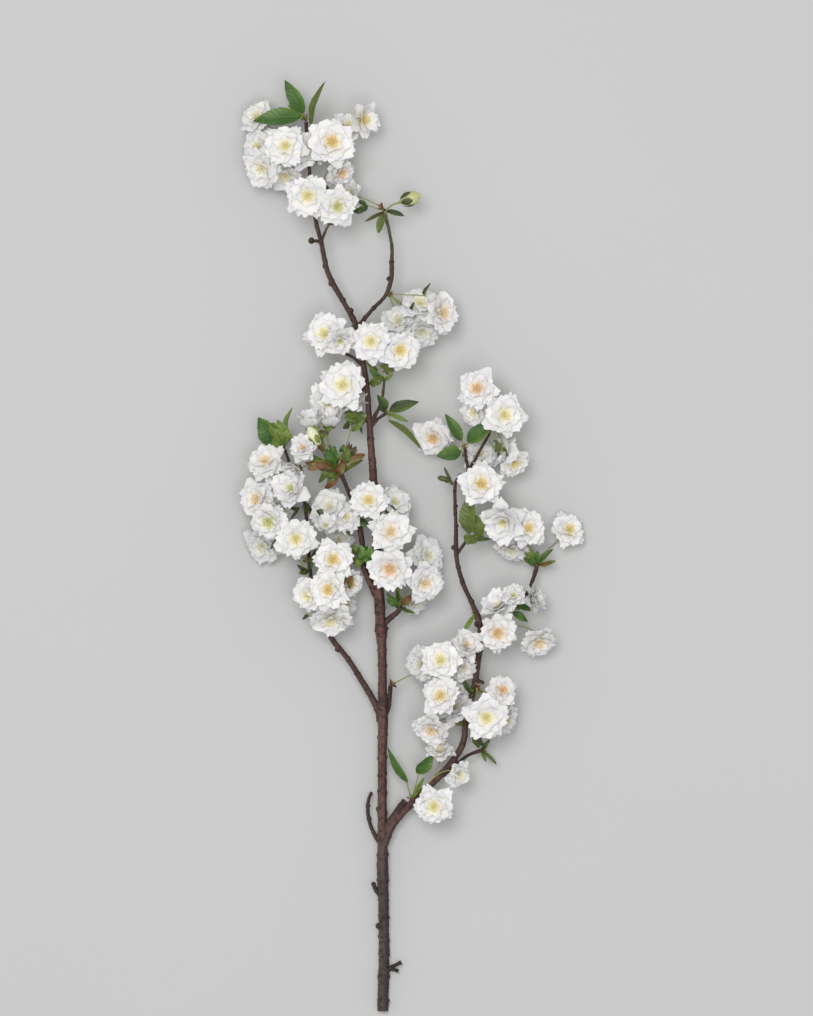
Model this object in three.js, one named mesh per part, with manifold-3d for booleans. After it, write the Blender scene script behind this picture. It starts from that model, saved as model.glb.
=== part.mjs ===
// Cherry blossom sprig: a cut flowering shoot, 0.93 m long, lying on a table on its lowest petals and its cut end.
// Millimetres, +Z up. Every place is written as [x, y, z]: x to the right and y down on a drawing sheet at full
// size, and z the height above the table. The origin is under the middle of the sprig, on the table.

import * as THREE from 'three';
import { mergeVertices } from 'three/addons/utils/BufferGeometryUtils.js';
import Module from 'manifold-3d';

const wasm = await Module();
wasm.setup();

// Driving dimensions
const SHEET_MIDDLE_X = 412.9; // sheet place that lies over the origin
const SHEET_MIDDLE_Y = 547.37;
const GAP = 0.3; // left between a node and the neighbour that it sits on or passes
const SCRAP = 0.02; // mm3 of shared volume under which two solids count as apart

const CORE_HEIGHT = 2.4; // the dome of stamens in the middle of a bloom
const LAYER_STEP = 1.0; // the inner petals leave this much above the outer ones
const PETALS = 5; // in each layer
const PETAL_THICKNESS = 1.0; // at the middle of a petal, which thins to its edge
const PETAL_MIDDLE = 0.6; // how far along the petal it is thickest
const PETAL_ROOT = 0.2; // how far along neighbouring petals part
const PETAL_NOTCH = 0.91; // bottom of the notch in the tip
const PETAL_WAVE = 1.4; // largest rise or fall of a ruffled edge
const INNER_SHARE = 0.68; // inner petals' reach as a share of the outer ones'

// Round the edge of a petal: [share of its length, share of its spread]
const PETAL_EDGES = {
  notched: [[0.72, -1], [0.97, -0.42], [PETAL_NOTCH, 0], [0.97, 0.42], [0.72, 1]],
  plain: [[0.84, -0.88], [0.96, 0], [0.84, 0.88]],
};

const PEDICEL_RADIUS = 0.9;
const PEDICEL_SIDES = 3;
const SHORT_PEDICEL = 24; // a shorter one is straight
const CALYX_RADIUS = 2.3;
const CALYX_LENGTH = 5.5;
const CALYX_SUNK = 0.7; // how far the calyx reaches up into the bloom
const PETAL_SHORTEST = 0.94; // the shortest petal of a layer as a share of the longest
const LEAF_THICKNESS = 1.2;
const LEAFLET_THICKNESS = 0.96; // of a leaflet without teeth
const LEAF_ARCH = 0.08; // rise of the rib as a share of the leaf's length
const LEAF_FOLD = 0.3; // the halves stand up from the rib by this share of their width
const LEAF_RIB = [0.28, 0.6]; // shares along a leaf at which its rib is thickest
const LEAFLET_RIB = [0.45];
const LEAFLET_EDGE = [0.3, 0.62];
const FIRST_TOOTH = 0.12; // share along the leaf where the teeth begin
const TOOTHED = 0.8; // share of the leaf's length that has teeth
const TOOTH_POINT = 0.62; // how far from one valley to the next a tooth has its point
const VALLEY_WIDTH = 0.8; // the leaf's width in a valley as a share of its width at a point
const STALK_END = 0.16; // share along the leaf where its stalk ends
const STALK_TAPER = 0.8;
const STALK_RADIUS = 0.8;
const STEM_SIDES = 8;
const TWIG_SIDES = 5;
const BUD_SIDES = 5;

const colours = {
  bark: new THREE.MeshStandardMaterial({ color: 0x6b4540, roughness: 0.75, metalness: 0 }),
  green: new THREE.MeshStandardMaterial({ color: 0x4f7a33, roughness: 0.55, metalness: 0 }),
  petal: new THREE.MeshStandardMaterial({ color: 0xf3f1ee, roughness: 0.6, metalness: 0 }),
};

// ---------------------------------------------------------------------------------------------------------------
// Small helpers

const radians = THREE.MathUtils.degToRad;
const UP = new THREE.Vector3(0, 0, 1);

function place([x, y, z]) {
  return new THREE.Vector3(x - SHEET_MIDDLE_X, SHEET_MIDDLE_Y - y, z);
}

// Seeded random numbers, so that the sprig is the same each time.
function seeded(seed) {
  let state = seed;
  return () => {
    state = (Math.imul(state, 1664525) + 1013904223) >>> 0;
    return state / 4294967296;
  };
}

function geometryOf(points, faces) {
  const geometry = new THREE.BufferGeometry();
  const numbers = points.flatMap((point) => point.toArray());
  geometry.setAttribute('position', new THREE.Float32BufferAttribute(numbers, 3));
  geometry.setIndex(faces.flat());
  return geometry;
}

function solidOf(geometry) {
  const bare = geometry.clone();
  bare.deleteAttribute('normal');
  bare.deleteAttribute('uv');
  const merged = mergeVertices(bare);
  return new wasm.Manifold(new wasm.Mesh({
    numProp: 3,
    vertProperties: new Float32Array(merged.attributes.position.array),
    triVerts: new Uint32Array(merged.index.array),
  }));
}

function meshOf(solid) {
  const { numProp, vertProperties, triVerts } = solid.getMesh();
  const geometry = new THREE.BufferGeometry();
  const numbers = [];
  for (let i = 0; i < vertProperties.length; i += numProp) {
    numbers.push(vertProperties[i], vertProperties[i + 1], vertProperties[i + 2]);
  }
  geometry.setAttribute('position', new THREE.Float32BufferAttribute(numbers, 3));
  geometry.setIndex(Array.from(triVerts));
  geometry.computeVertexNormals();
  return geometry;
}

function joined(solids) {
  return solids.reduce((all, solid) => all.add(solid));
}

function boxesMeet(a, b) {
  const first = a.boundingBox();
  const second = b.boundingBox();
  return [0, 1, 2].every((k) => first.min[k] < second.max[k] && second.min[k] < first.max[k]);
}

function meet(a, b) {
  return boxesMeet(a, b) && a.intersect(b).volume() > SCRAP;
}

// The largest body of a solid, without the scraps that a cut leaves.
function mainBody(solid) {
  const bodies = solid.decompose();
  return bodies.reduce((best, body) => (body.volume() > best.volume() ? body : best));
}

// ---------------------------------------------------------------------------------------------------------------
// Stems: a closed round bar through rings of [place, radius], with flat ends

function bar(rings, sides, extra = 0) {
  const points = [];
  const faces = [];
  const normal = new THREE.Vector3();
  const last = rings.length - 1;
  rings.forEach(({ centre, radius }, i) => {
    const before = rings[Math.max(i - 1, 0)].centre;
    const after = rings[Math.min(i + 1, last)].centre;
    const tangent = after.clone().sub(before).normalize();
    if (i === 0) {
      const guide = Math.abs(tangent.z) < 0.9 ? UP : new THREE.Vector3(1, 0, 0);
      normal.copy(guide);
    }
    normal.addScaledVector(tangent, -normal.dot(tangent)).normalize();
    const side = tangent.clone().cross(normal);
    const middle = centre.clone();
    if (i === 0) middle.addScaledVector(tangent, -extra);
    if (i === last) middle.addScaledVector(tangent, extra);
    for (let k = 0; k < sides; k += 1) {
      const angle = (k + 0.5) * 2 * Math.PI / sides;
      points.push(middle.clone()
        .addScaledVector(normal, (radius + extra) * Math.cos(angle))
        .addScaledVector(side, (radius + extra) * Math.sin(angle)));
    }
  });
  for (let i = 0; i < last; i += 1) {
    for (let k = 0; k < sides; k += 1) {
      const a = i * sides + k;
      const b = i * sides + (k + 1) % sides;
      faces.push([a, b, b + sides], [a, b + sides, a + sides]);
    }
  }
  for (let k = 1; k < sides - 1; k += 1) {
    faces.push([0, k + 1, k]);
    faces.push([last * sides, last * sides + k, last * sides + k + 1]);
  }
  return solidOf(geometryOf(points, faces));
}

function ringsOf(rows) {
  return rows.map(([x, y, z, radius]) => ({ centre: place([x, y, z]), radius }));
}

function knob([x, y, z, radius], extra = 0) {
  const ball = new THREE.OctahedronGeometry(radius + extra, 0);
  const middle = place([x, y, z]);
  ball.translate(middle.x, middle.y, middle.z);
  return solidOf(ball);
}

// ---------------------------------------------------------------------------------------------------------------
// Wood: rows of [x, y, z, radius] along each shoot, from where it leaves the wood before it

const stems = {
  trunk: [
    [382.6, 1013.6, 5.0, 5.7], [383.6, 975, 5.0, 5.5], [384, 945, 5.2, 5.3], [383.4, 905, 8, 5.2],
    [382.5, 872, 11, 5.9], [382.4, 848, 13, 5.2], [382.3, 825, 15, 4.7],
    [382.3, 761, 21, 4.6], [382.8, 713, 25.5, 5.3], [382.5, 690, 27.5, 4.5],
    [382.3, 661, 30, 4.3], [381.6, 641, 31.5, 5.0], [381.2, 630, 32.3, 6.3], [380.3, 617, 33, 5.2],
    [379.4, 600, 34.5, 5.5], [378.5, 585, 35.5, 4.6], [377.5, 560, 37, 4.1], [375.5, 525, 39, 3.9],
    [374, 490, 40, 3.6], [373.2, 474, 40.5, 3.9], [369.4, 423, 42, 3.0],
    [367.5, 392, 42.5, 2.7], [364.2, 368, 43, 2.9], [361.5, 345, 43.5, 2.7], [356, 325, 44, 2.9],
    [344, 303, 44, 2.5], [332, 282, 44, 2.8], [326, 266, 43.5, 2.5], [321, 241, 43, 2.4],
    [316, 222, 42, 2.1], [312, 195, 40, 2.0], [309, 165, 38, 1.9], [306, 122, 35, 1.8],
  ],
};

const shoots = {
  middle: [
    [377, 597, 34.5, 3.6], [366, 573, 38, 3.1], [362.6, 561, 39.5, 3.0], [362.4, 545, 41, 2.8],
    [360.5, 532, 42, 2.9], [358.3, 516, 43, 2.4], [353, 502, 44, 2.3], [346.4, 486.5, 45, 2.1],
    [340, 470, 46, 2.4],
  ],
  left: [
    [380, 722, 25, 3.8], [377, 708, 26, 3.4], [363, 683, 28, 3.0], [347, 658, 29, 2.7],
    [331, 638, 30, 2.6], [322, 622, 30, 2.3], [314, 603, 29, 2.1], [309.5, 565, 27, 1.9],
    [306, 515, 27, 1.8], [302, 492, 28, 1.6], [291, 467, 29, 1.5], [284.5, 449, 30, 1.4],
  ],
  right: [
    [384, 846, 14, 4.5], [392, 826, 16, 4.1], [406, 810, 18, 3.8], [425, 791, 21, 3.6],
    [441, 775, 23, 3.4], [456, 757, 25, 3.3], [464, 740, 26, 3.2], [466, 722, 27, 3.0],
    [476, 677, 30, 2.9], [480.6, 638, 32.3, 2.9], [479.3, 622, 33, 3.4], [472, 603, 34, 2.4],
    [464, 586, 35, 2.3], [458, 566, 36, 2.2], [456, 548, 37, 2.5], [456, 527, 38, 1.8],
    [455, 505, 39, 1.8], [455.5, 483, 40, 1.7], [462, 477, 40.5, 2.0], [468, 472, 41, 1.6],
    [466, 459, 42, 1.5], [464.7, 448, 43, 1.6],
  ],
  rightFork: [
    [480, 630, 32.5, 2.3], [493, 618, 30, 1.8], [508, 609, 27, 1.7], [523.7, 599, 24, 1.7],
    [531, 585, 22, 1.6], [536, 571, 20, 2.3], [537.5, 562, 20, 1.8],
  ],
  rightTop: [
    [467, 472, 41, 1.6], [474, 461, 42, 1.4], [480, 450, 43, 1.4], [491, 431, 43, 1.3], [494, 424, 43, 1.6],
  ],
  upperRight: [
    [357, 328, 43.7, 2.4], [373, 309, 42, 1.9], [385.4, 296, 40, 2.0], [391, 280, 39, 2.3],
    [391.7, 262, 38, 2.3], [392, 248, 37, 1.7], [388.5, 228, 36, 1.6], [384.5, 214, 36, 2.2],
  ],
  sideTwig: [
    [441, 777, 23, 2.3], [453, 768, 22, 1.8], [468, 756, 21, 1.6], [482, 751, 20, 2.2],
  ],
  leftTwig: [
    [380, 845, 13, 2.6], [370.5, 827, 13, 1.9], [367.5, 807, 13, 1.8], [371.3, 793, 13, 1.5],
  ],
  cutStub: [[383, 834, 15, 4.0], [391, 822, 16, 3.8], [398.6, 811, 17, 3.8], [406, 802, 17.5, 3.9]],
  trunkStub: [[385, 716, 25, 2.6], [389, 706, 25.5, 2.0], [390.5, 686, 26, 2.2]],
  trunkSpur: [[383, 625, 32, 3.6], [389, 619, 33, 2.9], [398.4, 611, 35, 2.5], [399.5, 605, 35, 2.3]],
  lowFork: [[386, 973, 6, 2.7], [391, 970, 7, 2.3], [401, 964.5, 8.5, 1.4]],
  lowForkTip: [[389, 971, 6.5, 1.9], [399, 973, 7, 1.3]],
  topStub: [[321, 242, 43, 1.8], [313, 241, 43, 1.6]],
  topStalk: [[321, 244, 43, 1.7], [325, 233, 45, 1.3], [329, 225, 46, 1.3]],
  upperLeft: [[364, 367, 43, 1.9], [352, 357, 44, 1.5], [337, 351, 46, 1.4]],
  upperTwig: [[370, 425, 42, 2.0], [379, 408, 43, 1.7], [382.5, 397, 44, 1.5], [384.7, 378, 45, 1.3]],
  leafTwig: [[371, 427, 42, 1.9], [378, 419, 43, 1.6], [385.5, 414, 44, 1.7]],
  rightStub: [[476, 680, 30, 2.2], [484, 683, 31.5, 1.7]],
  leafSpur: [[457, 554, 36.5, 1.9], [467, 540, 39, 1.5]],
};

// Buds that have not opened and swollen nodes on the bark: [x, y, z, radius]
const barkKnobs = [
  [376.6, 886, 10, 3.6], [378.7, 928, 7, 3.2], [378.6, 810, 16.5, 3.0], [311.6, 241, 43, 3.3],
  [453.6, 547.5, 37, 2.6], [460.5, 476.5, 41, 3.2], [477.5, 624, 33.5, 3.4], [388.6, 279, 39, 2.4],
];

function wood(extra) {
  const solids = [
    ...Object.values(stems).map((rows) => bar(ringsOf(rows), STEM_SIDES, extra)),
    ...Object.values(shoots).map((rows) => bar(ringsOf(rows), TWIG_SIDES, extra)),
    ...barkKnobs.map((row) => knob(row, extra)),
  ];
  return joined(solids);
}

// What lies below the table top, to give the trunk the flat that it rests on.
function belowTable() {
  const depth = 50;
  const box = new THREE.BoxGeometry(2000, 2000, depth);
  box.translate(0, 0, -depth / 2);
  return solidOf(box);
}

// ---------------------------------------------------------------------------------------------------------------
// Spurs: short shoots that end in bud scales, as [x, y, z, radius of the bud scales]

const flowerSpurs = {
  top_upper: [312, 158, 40.5, 3.4],
  top_back: [305.5, 150, 33.5, 3.2],
  top_lower: [318, 214, 44, 3.4],
  top_stalk: [329.5, 224, 46.5, 2.4],
  upper_right: [382.5, 208, 38.5, 3.0],
  upper_node: [388.5, 294, 41.5, 3.4],
  upper_middle: [355, 333, 47.5, 3.8],
  upper_left: [336, 351, 46.5, 2.4],
  upper_twig: [385.5, 373, 46, 2.4],
  middle_stem: [363, 389, 45.5, 3.4],
  middle_tip: [337, 464, 47.5, 4.0],
  left_upper: [300.5, 497, 30, 2.8],
  left_lower: [307, 562, 30, 3.0],
  left_fork: [317, 601, 31.5, 3.2],
  left_root: [329, 632.5, 32.5, 3.0],
  middle_upper: [355, 512, 46.5, 2.9],
  centre_upper: [377, 506, 43.5, 3.8],
  centre_lower: [380.5, 560, 41, 4.0],
  centre_back: [379.5, 545, 36, 3.6],
  centre_right: [380.5, 515, 38, 3.2],
  trunk_spur: [400, 602.5, 35.5, 3.0],
  right_leaf: [466, 456, 41, 2.6],
  right_top: [494.5, 422, 43, 3.0],
  right_upper: [461, 478.5, 42.5, 2.9],
  fork_tip: [537.5, 559, 20.5, 3.2],
  fork_low: [510, 607, 29, 3.0],
  right_knee: [482, 631, 35.5, 3.6],
  right_middle: [476, 688, 31.5, 3.6],
  right_inner: [474.5, 662, 34, 3.2],
  right_back: [469, 704, 24.5, 3.2],
  right_lower: [466, 724, 30, 3.6],
  trunk_stub: [391, 685, 27, 2.8],
  right_base: [420, 793, 24, 4.0],
};

const leafSpurs = {
  top_tip: [305.8, 119, 35.5, 3.0],
  upper_right: [385, 211, 34.5, 3.2],
  upper_twig: [384.2, 381, 46, 2.0],
  middle_leaf: [386.5, 413.5, 44.5, 2.6],
  middle_tip: [342, 474, 47, 3.4],
  left_leaf: [284, 447, 30.5, 2.3],
  left_upper: [305, 507, 29, 2.2],
  left_lower: [308, 571, 29, 2.2],
  middle_upper: [357.5, 519, 45.5, 2.4],
  middle_lower: [363, 556, 43.5, 3.0],
  trunk_spur: [399.5, 608.5, 37, 2.6],
  right_leaf: [464.5, 447, 43.5, 2.4],
  right_upper: [452.3, 484, 42, 2.0],
  right_hanging: [467.5, 539.5, 39.5, 2.2],
  fork_tip: [537, 566, 21, 2.6],
  fork_low: [516.5, 604.5, 27.5, 2.4],
  right_knee: [475.5, 613, 36.5, 2.4],
  right_middle: [472.5, 695, 32, 2.4],
  right_base: [412, 800, 22.5, 3.6],
  side_twig: [482, 751, 20.5, 2.8],
};

// ---------------------------------------------------------------------------------------------------------------
// Flowers

// How a flower stands open: the petals leave its middle at `rise` degrees above its plane and bend to `flare`
// at the tip, each `spread` degrees wide to either side.
const habits = {
  open: { outer: { rise: 36, flare: 2, spread: 32 }, inner: { rise: 48, flare: 16, spread: 34 } },
  bowl: { outer: { rise: 55, flare: 28, spread: 32 }, inner: { rise: 74, flare: 50, spread: 34 } },
  narrow: { outer: { rise: 30, flare: 6, spread: 20 }, inner: { rise: 60, flare: 30, spread: 24 } },
  cup: { outer: { rise: 66, flare: 58, spread: 33 }, inner: { rise: 80, flare: 70, spread: 34 } },
};
// [spur, x, y, z, diameter, tilt from straight up, turn of the tilt from +X, habit, layers of petals]
const flowers = [
  ['top_upper', 286.5, 148, 60, 45, 10, 135, 'open', 2],
  ['top_back', 258, 117, 32, 40, 42, 140, 'open', 1],
  ['top_upper', 263, 168, 46, 46, 36, 225, 'open', 1],
  ['top_upper', 332, 144, 62, 50, 10, 20, 'open', 2],
  ['top_lower', 308.5, 197, 66, 47, 15, 250, 'open', 2],
  ['top_lower', 340, 173, 50, 35, 48, 320, 'open', 1],
  ['top_stalk', 338, 207.5, 64, 42, 18, 300, 'open', 2],
  ['top_upper', 363, 120, 42, 46, 42, 350, 'narrow', 1],
  ['upper_right', 352, 196, 42, 36, 60, 170, 'open', 1],
  ['top_upper', 306, 151, 44, 42, 20, 60, 'open', 1],
  ['top_back', 285, 174, 32, 42, 42, 250, 'open', 1],
  ['upper_middle', 326, 335, 58, 45, 22, 150, 'open', 2],
  ['upper_left', 340, 341, 64, 32, 22, 280, 'bowl', 1],
  ['upper_middle', 371.5, 342, 66, 43, 10, 200, 'open', 2],
  ['upper_twig', 399.5, 350.5, 62, 44, 15, 320, 'open', 2],
  ['upper_node', 441, 314, 46, 46, 42, 10, 'open', 1],
  ['upper_node', 420, 305, 42, 44, 42, 80, 'open', 1],
  ['upper_node', 421, 331, 40, 42, 36, 300, 'open', 1],
  ['upper_node', 399, 322, 42, 42, 30, 120, 'open', 1],
  ['middle_stem', 343.6, 386, 60, 48, 12, 150, 'open', 2],
  ['middle_tip', 352, 404, 46, 36, 65, 95, 'bowl', 1],
  ['middle_tip', 311.5, 413, 52, 40, 48, 110, 'bowl', 1],
  ['middle_tip', 327, 420, 58, 36, 50, 85, 'bowl', 1],
  ['middle_tip', 304, 449, 60, 29, 14, 120, 'bowl', 1],
  ['middle_tip', 298.5, 470, 54, 25, 40, 210, 'cup', 1],
  ['left_upper', 266.5, 462, 46, 41, 30, 120, 'open', 1],
  ['left_upper', 292, 489, 58, 40, 25, 150, 'bowl', 1],
  ['left_upper', 258, 498.5, 42, 42, 32, 190, 'open', 1],
  ['left_upper', 270, 521, 54, 44, 28, 230, 'open', 1],
  ['left_lower', 296.5, 538, 60, 44, 12, 270, 'open', 2],
  ['left_lower', 263, 545, 18, 44, 38, 230, 'open', 1],
  ['middle_upper', 326, 526, 64, 25, 18, 90, 'cup', 1],
  ['middle_upper', 330, 508, 52, 42, 24, 110, 'open', 1],
  ['centre_upper', 369, 501, 64, 41, 15, 100, 'open', 2],
  ['centre_lower', 390.5, 532, 66, 45, 12, 40, 'open', 2],
  ['centre_right', 394, 503, 44, 42, 32, 50, 'open', 1],
  ['centre_lower', 390.5, 568, 66, 48, 15, 250, 'open', 2],
  ['trunk_spur', 424, 583, 54, 42, 30, 340, 'open', 1],
  ['centre_back', 426, 556, 38, 42, 34, 20, 'open', 1],
  ['left_lower', 333, 559.5, 62, 44, 10, 60, 'open', 2],
  ['left_fork', 329, 589, 64, 42, 12, 200, 'open', 2],
  ['left_fork', 309.5, 594.5, 54, 38, 28, 200, 'open', 1],
  ['left_fork', 349, 583, 46, 34, 40, 330, 'open', 1],
  ['left_root', 331, 619, 46, 47, 48, 265, 'open', 1],
  ['right_top', 477.5, 389.5, 62, 43, 15, 160, 'open', 2],
  ['right_top', 503.5, 415.5, 62, 45, 15, 350, 'open', 2],
  ['right_leaf', 433.5, 437, 28, 43, 25, 250, 'open', 1],
  ['right_top', 501, 449, 42, 38, 118, 350, 'bowl', 1],
  ['right_top', 513, 462, 38, 36, 40, 310, 'open', 1],
  ['right_leaf', 479, 455, 32, 40, 30, 60, 'open', 1],
  ['right_upper', 481, 484.5, 62, 45, 12, 60, 'open', 2],
  ['fork_tip', 503.5, 521, 54, 46, 25, 240, 'bowl', 2],
  ['fork_tip', 527.5, 528.5, 48, 40, 18, 20, 'open', 1],
  ['fork_tip', 513, 548, 30, 36, 45, 260, 'open', 1],
  ['fork_tip', 569, 530.5, 14, 37, 26, 50, 'open', 1],
  ['fork_low', 513, 596, 46, 27, 16, 90, 'bowl', 1],
  ['fork_low', 533, 600, 37, 30, 68, 20, 'bowl', 1],
  ['right_knee', 498, 607, 44, 35, 45, 120, 'bowl', 1],
  ['right_knee', 497, 632, 58, 42, 12, 300, 'open', 2],
  ['right_knee', 538.5, 641, 32, 40, 45, 290, 'open', 1],
  ['right_inner', 441, 660, 56, 43, 18, 120, 'open', 2],
  ['trunk_stub', 423, 664, 40, 40, 42, 190, 'open', 1],
  ['right_inner', 466, 646, 48, 34, 32, 60, 'bowl', 1],
  ['right_lower', 441, 695, 58, 42, 18, 160, 'open', 2],
  ['right_lower', 432, 728, 46, 41, 42, 240, 'open', 1],
  ['right_middle', 485.5, 716, 62, 47, 10, 300, 'open', 2],
  ['right_middle', 501.5, 690.5, 48, 34, 26, 45, 'open', 1],
  ['right_lower', 505, 720, 34, 34, 50, 340, 'open', 1],
  ['right_back', 456, 708, 30, 40, 36, 120, 'open', 1],
  ['right_base', 434, 805, 50, 43, 15, 260, 'open', 2],
  ['right_base', 458, 774, 44, 30, 42, 330, 'open', 1],
  ['right_base', 440, 752, 36, 32, 60, 90, 'open', 1],
  ['top_back', 260, 147, 36, 42, 36, 180, 'open', 1],
  ['middle_stem', 329, 402, 48, 42, 30, 230, 'open', 1],
  ['middle_upper', 345, 517, 52, 36, 22, 40, 'open', 1],
  ['right_top', 475.5, 412, 46, 36, 35, 200, 'open', 1],
  ['right_inner', 462, 667, 42, 34, 34, 330, 'open', 1],
  ['left_upper', 279.5, 474, 42, 36, 40, 60, 'open', 1],
  ['top_upper', 347, 127, 42, 34, 45, 60, 'open', 1],
].map(([spur, x, y, z, diameter, tilt, turn, habit, layers], index) => (
  { spur, x, y, z, diameter, tilt, turn, habit, layers, number: index + 1 }));

// Height and reach along a petal that leaves at the angle `rise` and bends evenly to `flare`.
function petalArc(length, rise, flare, share) {
  const start = radians(rise);
  const bend = radians(flare - rise);
  const angle = start + bend * share;
  return {
    reach: length * (Math.sin(angle) - Math.sin(start)) / bend,
    height: length * (Math.cos(start) - Math.cos(angle)) / bend,
    lean: angle,
  };
}

// The petals of a bloom as one closed blade in one or two layers, from its flat underside at height 0. Each petal is
// thick in its middle and sharp at its ruffled, notched edge; the inner petals stand between the outer ones.
function corolla(diameter, habit, layers, random) {
  const points = [];
  const faces = [];
  const step = 360 / PETALS;
  const spin = step * random();
  const edges = layers === 1 ? [PETAL_EDGES.plain] : [PETAL_EDGES.notched, PETAL_EDGES.plain];
  const spots = edges.map((edge) => edge.length + 3); // with a petal's root and the two faces of its middle
  const root = (layer, petal) => layer * PETALS * spots[0] + (petal % PETALS) * spots[layer];

  for (let layer = 0; layer < layers; layer += 1) {
    const { rise, flare, spread } = layer === 0 ? habit.outer : habit.inner;
    const radius = diameter / 2 * INNER_SHARE ** layer;
    const length = radius / petalArc(1, rise, flare, 1).reach;
    const parting = petalArc(length, rise, flare, PETAL_ROOT);
    const base = layer * LAYER_STEP - parting.height;
    for (let petal = 0; petal < PETALS; petal += 1) {
      const own = length * (PETAL_SHORTEST + (1 - PETAL_SHORTEST) * random());
      const azimuth = spin + step * (petal + layer / 2);
      const add = (angle, reach, height) => {
        const way = radians(azimuth + angle);
        points.push(new THREE.Vector3(reach * Math.cos(way), reach * Math.sin(way), height));
      };
      const addEdge = (share, angle) => {
        const { reach, height } = petalArc(own, rise, flare, share);
        add(angle, reach, base + height + PETAL_WAVE * (2 * random() - 1));
      };
      add(-step / 2, parting.reach, layer * LAYER_STEP);
      for (const [share, side] of edges[layer]) addEdge(share, side * spread);
      const { reach, height, lean } = petalArc(own, rise, flare, PETAL_MIDDLE);
      for (const half of [PETAL_THICKNESS / 2, -PETAL_THICKNESS / 2]) {
        add(0, reach - half * Math.sin(lean), base + height + half * Math.cos(lean));
      }
    }
  }
  const dome = points.length;
  points.push(new THREE.Vector3(0, 0, (layers - 1) * LAYER_STEP + CORE_HEIGHT));

  for (let layer = 0; layer < layers; layer += 1) {
    for (let petal = 0; petal < PETALS; petal += 1) {
      const own = root(layer, petal);
      const next = root(layer, petal + 1);
      const edge = [own, ...edges[layer].map((_, k) => own + 1 + k), next];
      const top = own + edge.length - 1;
      const bottom = top + 1;
      for (let k = 0; k < edge.length - 1; k += 1) {
        faces.push([top, edge[k], edge[k + 1]], [bottom, edge[k + 1], edge[k]]);
      }
      const above = layer === layers - 1 ? dome : root(layer + 1, petal);
      faces.push([top, next, above], [top, above, own]);
      if (layer === 0) faces.push([bottom, own, next]);
      else faces.push([bottom, own, root(layer - 1, petal + 1)], [bottom, root(layer - 1, petal + 1), next]);
    }
  }
  for (let petal = 1; petal < PETALS - 1; petal += 1) {
    faces.push([root(0, 0), root(0, petal + 1), root(0, petal)]);
  }
  return solidOf(geometryOf(points, faces));
}

function axisOf({ tilt, turn }) {
  const lean = radians(tilt);
  const way = radians(turn);
  return new THREE.Vector3(Math.sin(lean) * Math.cos(way), Math.sin(lean) * Math.sin(way), Math.cos(lean));
}

// A flower's petals and its place, lifted where it would reach below the table.
function bloom(flower) {
  const random = seeded(flower.number * 7919);
  const petals = corolla(flower.diameter, habits[flower.habit], flower.layers, random);
  const axis = axisOf(flower);
  const centre = place([flower.x, flower.y, flower.z]);
  const stance = new THREE.Quaternion().setFromUnitVectors(UP, axis);
  const turned = new THREE.Matrix4().makeRotationFromQuaternion(stance).setPosition(centre);
  const standing = petals.transform(turned.toArray());
  const lift = Math.max(0, -standing.boundingBox().min[2]);
  centre.z += lift;
  return { ...flower, axis, centre, petals: standing.translate(0, 0, lift) };
}

// The stalk of a flower from its spur, widening to the calyx that is sunk in the bloom's underside.
function pedicel({ spur, axis, centre }) {
  const start = place(flowerSpurs[spur]);
  const along = (distance) => centre.clone().addScaledVector(axis, -distance);
  const neck = along(CALYX_LENGTH);
  const bend = along(CALYX_LENGTH + start.distanceTo(neck) / 2);
  const path = new THREE.QuadraticBezierCurve3(start, bend, neck);
  const steps = start.distanceTo(neck) > SHORT_PEDICEL ? [0, 0.5, 1] : [0, 1];
  return bar([
    ...steps.map((step) => ({ centre: path.getPoint(step), radius: PEDICEL_RADIUS })),
    { centre: along(-CALYX_SUNK), radius: CALYX_RADIUS },
  ], PEDICEL_SIDES);
}

// ---------------------------------------------------------------------------------------------------------------
// Leaves

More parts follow.
